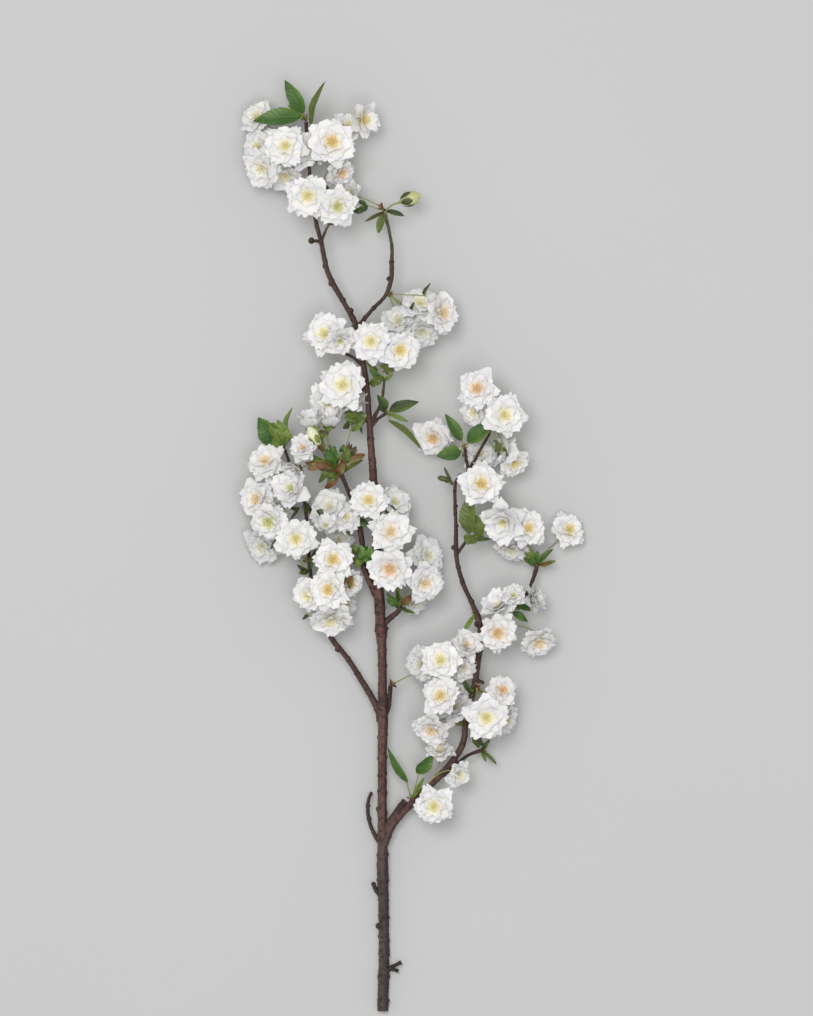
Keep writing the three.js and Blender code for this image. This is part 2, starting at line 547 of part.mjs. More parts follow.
// [spur, base x, y, z, tip x, y, z, width, roll about its rib, teeth on each side]
const leaves = [
  ['top_tip', 304, 113, 40, 285, 81, 48, 15, 10, 4],
  ['top_tip', 301, 117, 42, 253.5, 121, 47, 18, -15, 4],
  ['top_tip', 311, 128, 45, 325, 82, 54, 11, 50, 4],
  ['top_tip', 301, 114, 37, 288, 105, 39, 6, 0, 0],
  ['left_leaf', 282, 444, 33, 258, 418, 42, 23, 20, 4],
  ['left_leaf', 285.5, 441, 33, 292, 407, 42, 10, 55, 3],
  ['middle_leaf', 389, 411, 46, 419, 402, 53, 12, 15, 3],
  ['middle_leaf', 387, 410, 47, 377, 395, 54, 10, -20, 2],
  ['middle_leaf', 388, 420, 44, 423, 450, 38, 8, 40, 3],
  ['middle_leaf', 390, 416, 45, 408, 422, 47, 5, 20, 0],
  ['middle_leaf', 382, 421, 46, 380, 405, 50, 5, 30, 0],
  ['right_leaf', 461.5, 441, 46, 445, 414, 53, 12, -10, 3],
  ['right_leaf', 467, 442, 47, 494.5, 424, 55, 17, 15, 4],
  ['right_leaf', 461, 452, 46, 436, 456, 52, 15, -5, 4],
  ['right_hanging', 469, 534, 42, 470, 493, 46, 18, 25, 3],
  ['right_hanging', 473, 539, 41, 490.5, 539, 44, 5, 0, 0],
  ['right_base', 408, 783, 26, 387.4, 747, 34, 9, 25, 3],
  ['right_base', 417, 774, 28, 433.4, 753.7, 37, 14, -15, 3],
  ['right_base', 416, 787, 27, 424, 778, 34, 5, 0, 0],
  ['middle_lower', 360, 554, 44, 351, 545, 49, 9, 15, 0],
  ['middle_lower', 367, 557, 44, 387, 553, 48, 9, -10, 2],
  ['middle_lower', 363.5, 560, 45, 368, 546, 52, 6, 10, 0],
  ['middle_upper', 353, 517, 46, 347.5, 526, 50, 5, 0, 0],
  ['middle_upper', 361, 517, 46, 370, 526, 50, 8, 0, 0],
  ['left_upper', 306, 505, 31, 313, 514, 34, 7, 20, 0],
  ['left_lower', 305, 565, 31, 299, 573, 36, 6, 0, 0],
  ['middle_tip', 336, 464, 49, 324, 453, 53, 7, 20, 0],
  ['middle_tip', 342, 463, 50, 348, 447, 55, 6, -20, 0],
  ['middle_tip', 345, 464, 49, 363, 460, 46, 5, 30, 0],
  ['middle_tip', 345, 466, 47, 352, 444, 44, 5, 0, 0],
  ['middle_tip', 334, 469, 49, 321, 445, 50, 7, 15, 0],
  ['upper_right', 381, 216, 39, 365, 222, 43, 4, 0, 0],
  ['upper_right', 382, 218, 40, 378, 233, 38, 8, -20, 0],
  ['upper_right', 388, 216, 38, 404, 216, 40, 6, 20, 0],
  ['side_twig', 483, 749, 23, 489, 740, 28, 5, 0, 0],
  ['side_twig', 483, 753, 23, 486, 762, 26, 4, 0, 0],
  ['side_twig', 485, 753, 22, 497, 765, 22, 4, 20, 0],
  ['fork_tip', 534, 560, 24, 523, 547, 27, 9, -10, 2],
  ['fork_tip', 540, 560, 23, 553, 549, 26, 5, 20, 0],
  ['fork_tip', 541, 563, 22, 556, 561, 22, 5, 0, 0],
  ['fork_low', 514, 609, 31, 531, 611, 29, 7, 15, 0],
  ['fork_low', 513, 612, 30, 528, 622, 30, 8, 10, 2],
  ['right_knee', 474, 640, 37, 462, 634, 42, 5, 0, 0],
  ['right_middle', 471, 684, 34, 462, 678, 38, 6, 0, 0],
  ['trunk_spur', 397, 602, 39, 387, 593, 43, 6, 0, 0],
  ['trunk_spur', 399, 601, 40, 398, 586, 45, 5, 20, 0],
  ['trunk_spur', 402, 607, 38, 415, 613, 41, 4, 0, 0],
  ['upper_twig', 383, 378, 48, 370, 370, 52, 7, 10, 0],
  ['upper_twig', 386, 377, 48, 393, 374, 52, 5, 0, 0],
  ['right_upper', 455, 479, 43, 444, 467, 45, 3.4, 0, 0],
].map(([spur, ...numbers]) => ({ spur, numbers }));

// Green buds on their stalks: rings of [x, y, z, radius] from the spur
const buds = [
  { spur: 'upper_right', rows: [
    [384.5, 213, 36.5, 1.0], [391, 206, 40, 0.9], [399, 203, 42, 1.1], [404, 201.5, 43, 4.6],
    [411, 199, 44, 6.8], [418, 197, 45, 5.4], [423, 195.5, 46, 1.0],
  ] },
  { spur: 'right_upper', rows: [
    [452.3, 484, 42, 1.0], [449, 481, 42, 1.0], [446, 479.5, 42, 2.8], [440, 478, 42, 2.8], [437.5, 477.5, 42, 0.7],
  ] },
  { spur: 'middle_tip', rows: [
    [340, 468, 46.5, 1.0], [330, 457, 52, 0.9], [321, 447, 57, 1.0], [317.5, 442, 60, 5.2],
    [313.5, 435.5, 63, 6.6], [310.5, 430, 65, 4.2], [309, 427.5, 66, 0.8],
  ] },
];

// The edge of one half of a leaf: [share along the rib, share of the half width], with its saw teeth.
function leafEdge(teeth) {
  const swell = (share) => Math.sin(Math.PI * share ** 0.8) ** 0.85;
  if (teeth === 0) return LEAFLET_EDGE.map((share) => [share, swell(share)]);
  const edge = [];
  for (let tooth = 0; tooth < teeth; tooth += 1) {
    const valley = FIRST_TOOTH + TOOTHED * tooth / teeth;
    const point = valley + TOOTH_POINT * TOOTHED / teeth;
    edge.push([valley, VALLEY_WIDTH * swell(valley)], [point, swell(point)]);
  }
  return edge;
}

function leaf({ spur, numbers }, extra = 0) {
  const [baseX, baseY, baseZ, tipX, tipY, tipZ, width, roll, teeth] = numbers;
  const root = place(leafSpurs[spur]);
  const base = teeth === 0 ? root : place([baseX, baseY, baseZ]);
  const tip = place([tipX, tipY, tipZ]);
  const rib = tip.clone().sub(base);
  const long = rib.length();
  const forward = rib.clone().normalize();
  const across = forward.clone().cross(UP).normalize().applyAxisAngle(forward, radians(roll));
  const out = across.clone().cross(forward);
  const at = (share, side, lift) => base.clone()
    .addScaledVector(forward, long * share)
    .addScaledVector(out, LEAF_ARCH * long * Math.sin(Math.PI * share) + lift + LEAF_FOLD * Math.abs(side))
    .addScaledVector(across, side);

  const half = (teeth === 0 ? LEAFLET_THICKNESS : LEAF_THICKNESS) / 2;
  const ribShares = teeth === 0 ? LEAFLET_RIB : LEAF_RIB;
  const edge = leafEdge(teeth);
  const reach = width / 2 + extra;
  const points = [at(0, 0, 0), at(1, 0, 0)];
  const line = (places) => places.map((point) => points.push(point) - 1);
  const top = [0, ...line(ribShares.map((share) => at(share, 0, half + extra))), 1];
  const bottom = [0, ...line(ribShares.map((share) => at(share, 0, -half - extra))), 1];
  const shares = [0, ...ribShares, 1];
  const edgeShares = [0, ...edge.map(([share]) => share), 1];
  const faces = [];
  for (const side of [1, -1]) {
    const rim = [0, ...line(edge.map(([share, wide]) => at(share, side * wide * reach, 0))), 1];
    for (const [spine, way] of [[top, side], [bottom, -side]]) {
      let i = 0;
      let j = 0;
      while (i < spine.length - 2 || j < rim.length - 2) {
        const spineNext = i < spine.length - 2 && (j >= rim.length - 2 || shares[i + 1] < edgeShares[j + 1]);
        const triangle = spineNext ? [spine[i], rim[j], spine[i + 1]] : [spine[i], rim[j], rim[j + 1]];
        if (new Set(triangle).size === 3) faces.push(way > 0 ? triangle : triangle.reverse());
        if (spineNext) i += 1;
        else j += 1;
      }
      const close = [spine[i], rim[j], 1];
      faces.push(way > 0 ? close : close.reverse());
    }
  }
  const blade = solidOf(geometryOf(points, faces));
  if (teeth === 0) return blade;
  const stalk = bar([
    { centre: root, radius: STALK_RADIUS },
    { centre: at(STALK_END, 0, 0), radius: STALK_RADIUS * STALK_TAPER },
  ], PEDICEL_SIDES, extra);
  return blade.add(stalk);
}

// ---------------------------------------------------------------------------------------------------------------
// Assembly

// Solids that meet become one; the rest stay apart. Each keeps the name of its first member.
function fused(items) {
  const groups = [];
  for (const item of items) {
    const near = groups.filter((group) => group.solids.some((solid) => meet(solid, item.solid)));
    const group = near[0] ?? { name: item.name, solids: [] };
    if (near.length === 0) groups.push(group);
    for (const other of near.slice(1)) {
      group.solids.push(...other.solids);
      groups.splice(groups.indexOf(other), 1);
    }
    group.solids.push(item.solid);
  }
  return groups.map(({ name, solids }) => ({ name, solid: joined(solids) }));
}

// The leaves and green buds of a spur.
function leafTuft(name, extra) {
  return joined([
    knob(leafSpurs[name], extra),
    ...leaves.filter(({ spur }) => spur === name).map((row) => leaf(row, extra)),
    ...buds.filter(({ spur }) => spur === name).map(({ rows }) => bar(ringsOf(rows), BUD_SIDES, extra)),
  ]);
}

// The flowers of a spur on their stalks.
function spray(name, placed) {
  const own = placed.filter(({ spur }) => spur === name);
  return joined([
    knob(flowerSpurs[name]),
    ...own.flatMap((flower) => [pedicel(flower), flower.petals]),
  ]);
}

const group = new THREE.Group();

function addNode(name, solid, material) {
  const mesh = new THREE.Mesh(meshOf(solid), material);
  mesh.name = name;
  group.add(mesh);
}

const table = belowTable();
const branchRoom = wood(GAP);
const leafNames = Object.keys(leafSpurs);
const leafRooms = leafNames.map((name) => leafTuft(name, GAP));
const tufts = leafNames.map((name) => (
  { name: `leaves_${name}`, solid: mainBody(leafTuft(name, 0).subtract(branchRoom)) }));

const placed = flowers.map(bloom);
const sprays = Object.keys(flowerSpurs).map((name) => {
  const whole = spray(name, placed);
  const rooms = [branchRoom, ...leafRooms].filter((room) => meet(room, whole));
  return { name: `flowers_${name}`, solid: mainBody(rooms.reduce((left, room) => left.subtract(room), whole)) };
});

addNode('branch', mainBody(wood(0).subtract(table)), colours.bark);
for (const { name, solid } of fused(tufts)) addNode(name, solid, colours.green);
for (const { name, solid } of fused(sprays)) addNode(name, solid, colours.petal);

export default group;
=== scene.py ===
# %% [markdown]
# # A cherry blossom sprig
# This is a cut flowering shoot, 0.93 m long, that lies on a table: a forked woody stem with 85 semi-double
# white blossoms, their stalks and calyxes, young leaves, leaflets and buds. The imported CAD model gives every
# place and the outer form. Here the wood and each spray and leaf tuft get their finer pieces and their
# finishes. Almost everything on a plant repeats along a rule, so nearly every piece is grown by a small
# Geometry Nodes tree from a table of places.

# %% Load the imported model
import math

import bpy
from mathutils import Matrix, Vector


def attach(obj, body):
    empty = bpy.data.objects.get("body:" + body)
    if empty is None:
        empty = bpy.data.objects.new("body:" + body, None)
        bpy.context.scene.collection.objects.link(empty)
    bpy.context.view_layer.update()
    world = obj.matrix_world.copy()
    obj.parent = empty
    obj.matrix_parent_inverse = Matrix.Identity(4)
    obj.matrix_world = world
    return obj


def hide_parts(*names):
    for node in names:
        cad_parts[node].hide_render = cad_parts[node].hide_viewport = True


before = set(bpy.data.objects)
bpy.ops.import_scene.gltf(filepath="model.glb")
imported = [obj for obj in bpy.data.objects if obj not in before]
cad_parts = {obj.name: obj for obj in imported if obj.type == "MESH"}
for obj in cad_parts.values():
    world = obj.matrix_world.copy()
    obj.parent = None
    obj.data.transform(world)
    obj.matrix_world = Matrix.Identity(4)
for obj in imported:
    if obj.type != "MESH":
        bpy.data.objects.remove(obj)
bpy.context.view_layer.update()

# %% [markdown]
# ## Places and sizes
# The model was laid out on a full-size drawing sheet, in millimetres, with x to the right and y down, and
# with z the height above the table. `place` turns such a place into metres in the model's own frame, so the
# tables below can hold the same numbers as the CAD source.

# %% The drawing sheet
MM = 0.001
SHEET_MIDDLE_X = 412.9
SHEET_MIDDLE_Y = 547.37
UP = Vector((0, 0, 1))


def place(x, y, z):
    """A place on the drawing sheet, in metres."""
    return Vector(((x - SHEET_MIDDLE_X) * MM, (SHEET_MIDDLE_Y - y) * MM, z * MM))


def seeded(seed):
    """Random numbers from 0 to 1, the same ones each time."""
    state = seed

    def draw():
        nonlocal state
        state = (state * 1664525 + 1013904223) % 2 ** 32
        return state / 2 ** 32

    return draw


print("the sheet's corner lies at", tuple(round(v, 3) for v in place(0, 0, 0)))

# %% [markdown]
# ## Formulas as nodes
# A node tree for a petal holds a few dozen sums. Written as a formula they are easy to read, so `Flow`
# stands for one output of a node, and each sign between two of them adds one Math or Vector Math node. The
# same helper serves the Geometry Nodes trees and the materials.

# %% Flow: sums that build nodes
class Flow:
    """One output of a node, to be used in a formula."""

    def __init__(self, socket):
        self.socket = socket
        self.tree = socket.id_data

    def __add__(self, other):
        return summed("ADD", self, other)

    def __sub__(self, other):
        return summed("SUBTRACT", self, other)

    def __rsub__(self, other):
        return summed("SUBTRACT", other, self)

    def __mul__(self, other):
        return summed("MULTIPLY", self, other)

    def __truediv__(self, other):
        return summed("DIVIDE", self, other)

    def __pow__(self, other):
        return summed("POWER", self, other)

    __radd__ = __add__
    __rmul__ = __mul__


def is_vector(value):
    if isinstance(value, Flow):
        return value.socket.type == "VECTOR"
    return isinstance(value, (tuple, Vector))


def feed(socket, value):
    """Links a Flow to a socket, or writes a plain value into it."""
    if isinstance(value, Flow):
        socket.id_data.links.new(value.socket, socket)
    else:
        socket.default_value = value


def node(tree, kind, inputs=None, output=0, **settings):
    """Adds a node, sets and feeds it, and returns one of its outputs."""
    made = tree.nodes.new(kind)
    for key, value in settings.items():
        setattr(made, key, value)
    for key, value in (inputs or {}).items():
        feed(made.inputs[key], value)
    return Flow(made.outputs[output])


def summed(operation, *values):
    """A Math node, or a Vector Math node where one of the values is a vector."""
    tree = next(value for value in values if isinstance(value, Flow)).tree
    vectors = [value for value in values if is_vector(value)]
    numbers = [value for value in values if not is_vector(value)]
    if vectors and numbers:
        return node(tree, "ShaderNodeVectorMath", {0: vectors[0], 3: numbers[0]}, operation="SCALE")
    kind = "ShaderNodeVectorMath" if vectors else "ShaderNodeMath"
    return node(tree, kind, dict(enumerate(values)), operation=operation)


def cross(a, b):
    return summed("CROSS_PRODUCT", a, b)


def smooth(value, low, high, start=0.0, end=1.0):
    """Rises softly from start to end as value goes from low to high."""
    inputs = {0: value, 1: low, 2: high, 3: start, 4: end}
    return node(value.tree, "ShaderNodeMapRange", inputs, interpolation_type="SMOOTHSTEP")


def noise(vector, scale, detail=2.0):
    """Soft random numbers around 0, from about -0.5 to 0.5."""
    inputs = {"Vector": vector, "Scale": scale, "Detail": detail}
    return node(vector.tree, "ShaderNodeTexNoise", inputs) - 0.5


def vector_of(x, y, z):
    tree = next(value for value in (x, y, z) if isinstance(value, Flow)).tree
    return node(tree, "ShaderNodeCombineXYZ", {0: x, 1: y, 2: z})


def part_of(vector, letter):
    return node(vector.tree, "ShaderNodeSeparateXYZ", {0: vector}, output="XYZ".index(letter))


print("formula helpers are ready")

# %% [markdown]
# ## How a tree gets its rows
# Each tree below grows one shape at every row of a table: a petal, a leaf, a length of stem. `Rows` collects
# the places and the numbers of each row, and `grown` hands them to the tree as the points of a small mesh
# with named attributes. `harvested` sets the modifier's inputs by their identifiers, reads the result back as
# a plain mesh and takes the maker away, because instances and live modifiers don't survive an export.

# %% Rows, trees and the pieces grown from them
SOCKET_KINDS = {int: "NodeSocketInt", float: "NodeSocketFloat", type(None): "NodeSocketMaterial"}


class Rows:
    """Places to grow something at, each with its own named numbers or vectors."""

    def __init__(self):
        self.places = []
        self.links = []
        self.values = {}

    def add(self, spot, joined=False, **values):
        if joined:
            self.links.append((len(self.places) - 1, len(self.places)))
        self.places.append(spot)
        for key, value in values.items():
            self.values.setdefault(key, []).append(value)


def new_tree(name, **sizes):
    """An empty Geometry Nodes tree with named inputs: (tree, its inputs by name, its output socket)."""
    tree = bpy.data.node_groups.new(name, "GeometryNodeTree")
    tree.interface.new_socket("Grown", in_out="OUTPUT", socket_type="NodeSocketGeometry")
    tree.interface.new_socket("Rows", in_out="INPUT", socket_type="NodeSocketGeometry")
    for label, value in sizes.items():
        kind = SOCKET_KINDS[type(value)]
        socket = tree.interface.new_socket(label, in_out="INPUT", socket_type=kind)
        if value is not None:
            socket.default_value = value
    start = tree.nodes.new("NodeGroupInput")
    end = tree.nodes.new("NodeGroupOutput")
    return tree, {socket.name: Flow(socket) for socket in start.outputs if socket.name}, end.inputs[0]


def named(tree, name, vector=False):
    """A named attribute, read in a Geometry Nodes tree."""
    kind = "FLOAT_VECTOR" if vector else "FLOAT"
    return node(tree, "GeometryNodeInputNamedAttribute", {"Name": name}, data_type=kind)


def stored(geometry, name, value, vector=False, domain="POINT"):
    """The geometry with a value kept on each point, or on each face, under a name."""
    inputs = {"Geometry": geometry, "Name": name, "Value": value}
    kind = "FLOAT_VECTOR" if vector else "FLOAT"
    return node(geometry.tree, "GeometryNodeStoreNamedAttribute", inputs, data_type=kind, domain=domain)


def joined(*parts):
    """Several geometries as one."""
    join = parts[0].tree.nodes.new("GeometryNodeJoinGeometry")
    for part in reversed(parts):
        join.id_data.links.new(part.socket, join.inputs[0])
    return Flow(join.outputs[0])


FAR = 9.0  # metres, well past the sprig on every side


def facing(way):
    """The turn that points a shape's own Z along the way."""
    return node(way.tree, "FunctionNodeAlignRotationToVector", {"Vector": way}, axis="Z")


def above_table(geometry, spots):
    """The geometry with its points moved to their spots, but none below the table."""
    inputs = {"Geometry": geometry, "Position": summed("MAXIMUM", spots, (-FAR, -FAR, 0.0))}
    return node(geometry.tree, "GeometryNodeSetPosition", inputs)


def copied(points, shape, **placing):
    """Real copies of a shape at every point; placing may name their Rotation and Scale."""
    inputs = {"Points": points, "Instance": shape, **placing}
    copies = node(points.tree, "GeometryNodeInstanceOnPoints", inputs)
    return node(points.tree, "GeometryNodeRealizeInstances", {0: copies})


def painted(geometry, material, **where):
    """The geometry in a material, all of it or only where a Selection says so."""
    inputs = {"Geometry": geometry, "Material": material, **where}
    return node(geometry.tree, "GeometryNodeSetMaterial", inputs)


def finished(geometry, material):
    """Smooth shading and a material, the last two nodes of a tree."""
    return painted(node(geometry.tree, "GeometryNodeSetShadeSmooth", {0: geometry}), material)


def harvested(name, maker, tree, sizes):
    """The plain mesh object that a tree makes of its maker, which is then taken away."""
    bpy.context.scene.collection.objects.link(maker)
    modifier = maker.modifiers.new("Grow", "NODES")
    modifier.node_group = tree
    for socket in tree.interface.items_tree:
        if socket.in_out == "INPUT" and socket.name in sizes:
            modifier[socket.identifier] = sizes[socket.name]
    ready = maker.evaluated_get(bpy.context.evaluated_depsgraph_get())
    mesh = bpy.data.meshes.new_from_object(ready)
    mesh.name = name
    bpy.data.objects.remove(maker)
    piece = bpy.data.objects.new(name, mesh)
    bpy.context.scene.collection.objects.link(piece)
    return piece


def grown(name, rows, tree, **sizes):
    """The piece that a tree grows from the rows."""
    seeds = bpy.data.meshes.new(name + "_rows")
    seeds.from_pydata([tuple(spot) for spot in rows.places], rows.links, [])
    for key, values in rows.values.items():
        vector = is_vector(values[0])
        layer = seeds.attributes.new(key, "FLOAT_VECTOR" if vector else "FLOAT", "POINT")
        flat = [part for value in values for part in value] if vector else values
        layer.data.foreach_set("vector" if vector else "value", flat)
    return harvested(name, bpy.data.objects.new(name + "_maker", seeds), tree, sizes)


def dressed(name, host, tree, **sizes):
    """The piece that a tree grows on the surface of another."""
    return harvested(name, host.copy(), tree, sizes)


def mounted(piece, slot, *nodes):
    """Hides a finished piece's CAD nodes and makes the piece ride on the part's one body."""
    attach(piece, "root")
    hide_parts(*nodes)


print("rows and trees are ready")

# %% [markdown]
# ## Finishes
# The wood of a cherry is thin glossy bark, red-brown on young shoots and greyer on the old stem, with fine
# rings round it. Petals are matt and nearly white, with faint veins and a tint at the heart. Leaves are
# darker and glossier above than below. All of that is procedural: soft noise for the mottling, repeating
# lines for the veins, and attributes that the trees keep on the mesh, such as how far along a petal a point
# is or a flower's own tint.

# %% Helpers for materials
def new_material(name, roughness):
    """A material with one Principled shader, and its node tree."""
    material = bpy.data.materials.new(name)
    material.use_nodes = True
    material.node_tree.nodes["Principled BSDF"].inputs["Roughness"].default_value = roughness
    return material, material.node_tree


def kept(tree, name, output="Fac"):
    """An attribute that a Geometry Nodes tree kept on the mesh, read in a material."""
    return node(tree, "ShaderNodeAttribute", {}, output=output, attribute_name=name)


def here(tree):
    """The place on the object, in metres."""
    return node(tree, "ShaderNodeTexCoord", {}, output="Object")


def blended(share, a, b):
    """Colour a turning into colour b as share goes from 0 to 1."""
    mix = share.tree.nodes.new("ShaderNodeMix")
    mix.data_type = "RGBA"
    feed(mix.inputs["Factor"], share)
    feed(mix.inputs[6], a)
    feed(mix.inputs[7], b)
    return Flow(mix.outputs[2])


def coated(material, tint, height=None, depth=0.0):
    """The material in a tint, with relief from a height of about -1 to 1, times a depth in metres."""
    tree = material.node_tree
    shader = tree.nodes["Principled BSDF"]
    feed(shader.inputs["Base Color"], tint)
    if depth:
        feed(shader.inputs["Normal"], node(tree, "ShaderNodeBump", {"Height": height, "Distance": depth}))
    return material


def grainy_material(name, roughness, scale, detail, ends, tints, depth=0.0, heart=None):
    """Two tints in soft grain; heart says how much of a flower's own tint comes in, from least to most."""
    material, tree = new_material(name, roughness)
    grain = noise(here(tree), scale, detail)
    tint = blended(smooth(grain, *ends), *map(colour, tints))
    if heart:
        tint = blended(smooth(grain, -0.5, 0.5, *heart), tint, kept(tree, "heart", "Color"))
    return coated(material, tint, grain, depth)


def colour(hexadecimal):
    """A colour written as on screen, in the shader's own linear numbers."""
    parts = [int(hexadecimal[i:i + 2], 16) / 255 for i in (0, 2, 4)]
    return (*[part / 12.92 if part < 0.04045 else ((part + 0.055) / 1.055) ** 2.4 for part in parts], 1.0)


def tint_of(hexadecimal):
    """A colour that a row can carry, without its opacity."""
    return colour(hexadecimal)[:3]


print("mid grey is", round(colour("808080")[0], 3), "to the shader")

# %% [markdown]
# ### Petals
# White with a breath of lilac, dull like thin cloth. The tint of the heart fades out at `blush`, at about the
# same distance from the heart on every petal. Fine veins fan out from the claw, so their pattern needs the
# petal's own coordinates, which its tree keeps as `along` and `aside`, and not the object's. Petals that lie
# in shade are greyed by the `shade` that they carry, which is painted shade.

# %% Petal finish
PETAL_WHITE = colour("f4f3ef")
PETAL_SHADE_AND_VEIN = colour("b4b5b6")
PETAL_COOL = colour("e7e5ed")


def petal_material():
    material, tree = new_material("petal_white", 0.62)
    along, aside = kept(tree, "along"), kept(tree, "aside")
    fan = vector_of(along * 1.5, aside * 9.0, kept(tree, "seed"))
    veins = noise(fan, 1.0, 3.0)
    blotch = noise(here(tree), 160.0, 2.0)
    white = blended(smooth(blotch, -0.1, 0.25), PETAL_WHITE, PETAL_COOL)
    # Painted shade: each petal's `shade` greys it. It is strongest on flowers that lie in shade or face away
    # and on the stragglers beneath the outer ring. The same grey also tints the veins.
    painted_petal_shade = blended(kept(tree, "shade"), white, PETAL_SHADE_AND_VEIN)
    veined = blended(smooth(veins, 0.05, 0.4, 0.0, 0.22), painted_petal_shade, PETAL_SHADE_AND_VEIN)
    heart = smooth(along / kept(tree, "blush") + veins * 0.5, 0.1, 1.05, 1.0, 0.0)
    tinted = blended(heart, veined, kept(tree, "heart", "Color"))
    return coated(material, tinted, veins + blotch * 0.5, 0.0005)


PETAL = petal_material()
print("petal finish made:", PETAL.name)

# %% [markdown]
# ### Leaves, stalks and buds
# A leaf's rib and side veins are lines in its own coordinates: a vein is where the distance to the nearest
# of a row of slanted lines is small. The skin below is paler and duller. The half of each blade on one side
# of its rib is lighter, which is painted light. Sepals, bud scales and stalks share one green finish that
# takes its tint from each row.

# %% Leaf and stalk finishes
def leaf_veins(tree):
    """1 on the rib and the side veins of a leaf and 0 between them."""
    along, aside = kept(tree, "along"), kept(tree, "aside")
    side = summed("ABSOLUTE", aside)
    slant = summed("FRACT", (along - side * 0.16) * 9.0)
    nearest = summed("ABSOLUTE", slant - 0.5)
    side_veins = smooth(nearest, 0.0, 0.13, 0.7, 0.0)
    rib = smooth(side, 0.03, 0.10, 1.0, 0.0)
    return summed("MAXIMUM", rib, side_veins)


def leaf_material(name, roughness, paler, relief):
    material, tree = new_material(name, roughness)
    veins = leaf_veins(tree)
    mottle = noise(here(tree), 220.0, 3.0)
    tint = kept(tree, "tint", "Color")
    deep = blended(smooth(mottle, -0.3, 0.1, 0.35, 0.0), tint, colour("1f3114"))
    skin = blended(smooth(mottle, 0.0, 0.35, paler, paler + 0.2), deep, colour("8a9448"))
    # Painted light: the half of the blade on the positive side of its rib turns a lighter green, as if light
    # fell on it.
    painted_light = blended(smooth(kept(tree, "aside") + mottle, -0.1, 0.9, 0.0, 0.5), skin, colour("6d8a34"))
    ribbed = blended(veins * 0.25, painted_light, colour("93a35c"))
    return coated(material, ribbed, veins * relief + mottle * 0.4, 0.0006)


LEAF_TOP = leaf_material("leaf_top", roughness=0.5, paler=0.0, relief=-0.8)
LEAF_BACK = leaf_material("leaf_back", roughness=0.6, paler=0.45, relief=1.0)


def stalk_material():
    material, tree = new_material("green_stalk", 0.5)
    mottle = noise(here(tree), 500.0, 3.0)
    tint = kept(tree, "tint", "Color")
    mottled = blended(smooth(mottle, 0.0, 0.35, 0.0, 0.45), tint, colour("7c5a3a"))
    return coated(material, mottled, mottle, 0.0003)


STALK = stalk_material()
print("leaf and stalk finishes made")

# %% [markdown]
# ### Bark and cut wood
# The bark's colour follows the shoot: the stem's foot is grey-brown, the middle is red-brown, thin twigs are
# darker and the youngest ones turn green. Its fine rings run round the stem, so they are noise stretched
# along `run`, the distance along the shoot that the tree keeps. Old scars are darker. Each shoot also has
# painted shade on its right side and a painted highlight on its left, set by the x of its normal. The cut
# ends show pale wood with growth rings round the pith.

# %% Bark finish
# The darkest bark colour is also the painted shade on each shoot's right side, and the fleck colour is also
# the painted highlight on its left side.
BARK_RED = colour("653e36")
BARK_GREY = colour("3e3532")
BARK_DARK_AND_SHADE = colour("271c19")
BARK_FLECK_AND_HIGHLIGHT = colour("7f685b")
BARK_GREEN = colour("727a45")


def bark_material():
    material, tree = new_material("cherry_bark", 0.55)
    spot = here(tree)
    run, round_ = kept(tree, "run"), kept(tree, "round")
    rings = noise(vector_of(run * 900.0, round_ * 2.5, 0.0), 1.0, 3.0)
    streaks = noise(vector_of(run * 60.0, round_ * 14.0, 2.0), 1.0, 4.0)
    flakes = noise(vector_of(run * 240.0, round_ * 5.0, 5.0), 1.0, 3.0)
    patches = noise(spot, 55.0, 4.0)
    old = smooth(part_of(spot, "Y"), -0.36, -0.25, 1.0, 0.0)
    thin = smooth(kept(tree, "thickness"), 0.0022, 0.0040, 0.55, 0.0)
    grown_bark = blended(old, BARK_RED, BARK_GREY)
    shoot_bark = blended(thin, grown_bark, BARK_DARK_AND_SHADE)
    # Painted light and shade: where a shoot's normal points left, it turns towards the pale fleck colour as a
    # painted highlight; where it points right, it turns towards the darkest bark as painted shade.
    painted_light = blended(smooth(kept(tree, "flank"), -0.9, 0.0, 0.30, 0.0), shoot_bark, BARK_FLECK_AND_HIGHLIGHT)
    painted_shade_right = blended(smooth(kept(tree, "flank"), 0.0, 0.85, 0.0, 0.85), painted_light, BARK_DARK_AND_SHADE)
    young = blended(kept(tree, "green"), painted_shade_right, BARK_GREEN)
    scarred = blended(kept(tree, "scar") * 0.9, young, BARK_DARK_AND_SHADE)
    streaked = blended(smooth(streaks + patches * 0.6, -0.05, 0.30, 0.0, 0.85), scarred, BARK_DARK_AND_SHADE)
    flaked = blended(smooth(flakes, -0.02, 0.18, 0.0, 0.9), streaked, BARK_DARK_AND_SHADE)
    flecked = blended(smooth(rings - flakes * 0.8, 0.12, 0.40, 0.0, 0.45), flaked, BARK_FLECK_AND_HIGHLIGHT)
    feed(tree.nodes["Principled BSDF"].inputs["Roughness"], smooth(patches, -0.3, 0.3, 0.42, 0.72))
    return coated(material, flecked, rings * 0.6 + streaks - flakes + patches * 0.5, 0.0012)


def cut_wood_material():
    material, tree = new_material("cut_wood", 0.75)
    spread, around = kept(tree, "spread"), kept(tree, "around")
    rays = noise(vector_of(spread * 2.0, around * 40.0, 0.0), 1.0, 3.0)
    rings = summed("SINE", (spread + rays * 0.04) * 38.0)
    wood = blended(smooth(rings, -0.6, 1.0), colour("cfae86"), colour("a97f58"))
    pith = blended(smooth(spread, 0.10, 0.16, 1.0, 0.0), wood, colour("6d4a33"))
    return coated(material, pith, rings * 0.5 + rays, 0.0003)


BARK = bark_material()
CORK = grainy_material(
    "lenticel_cork", 0.85, scale=900.0, detail=3.0, ends=(-0.3, 0.3), tints=("6d574b", "8d7464"),
    depth=0.0003)
CUT_WOOD = cut_wood_material()
print("bark, cork and cut wood made")

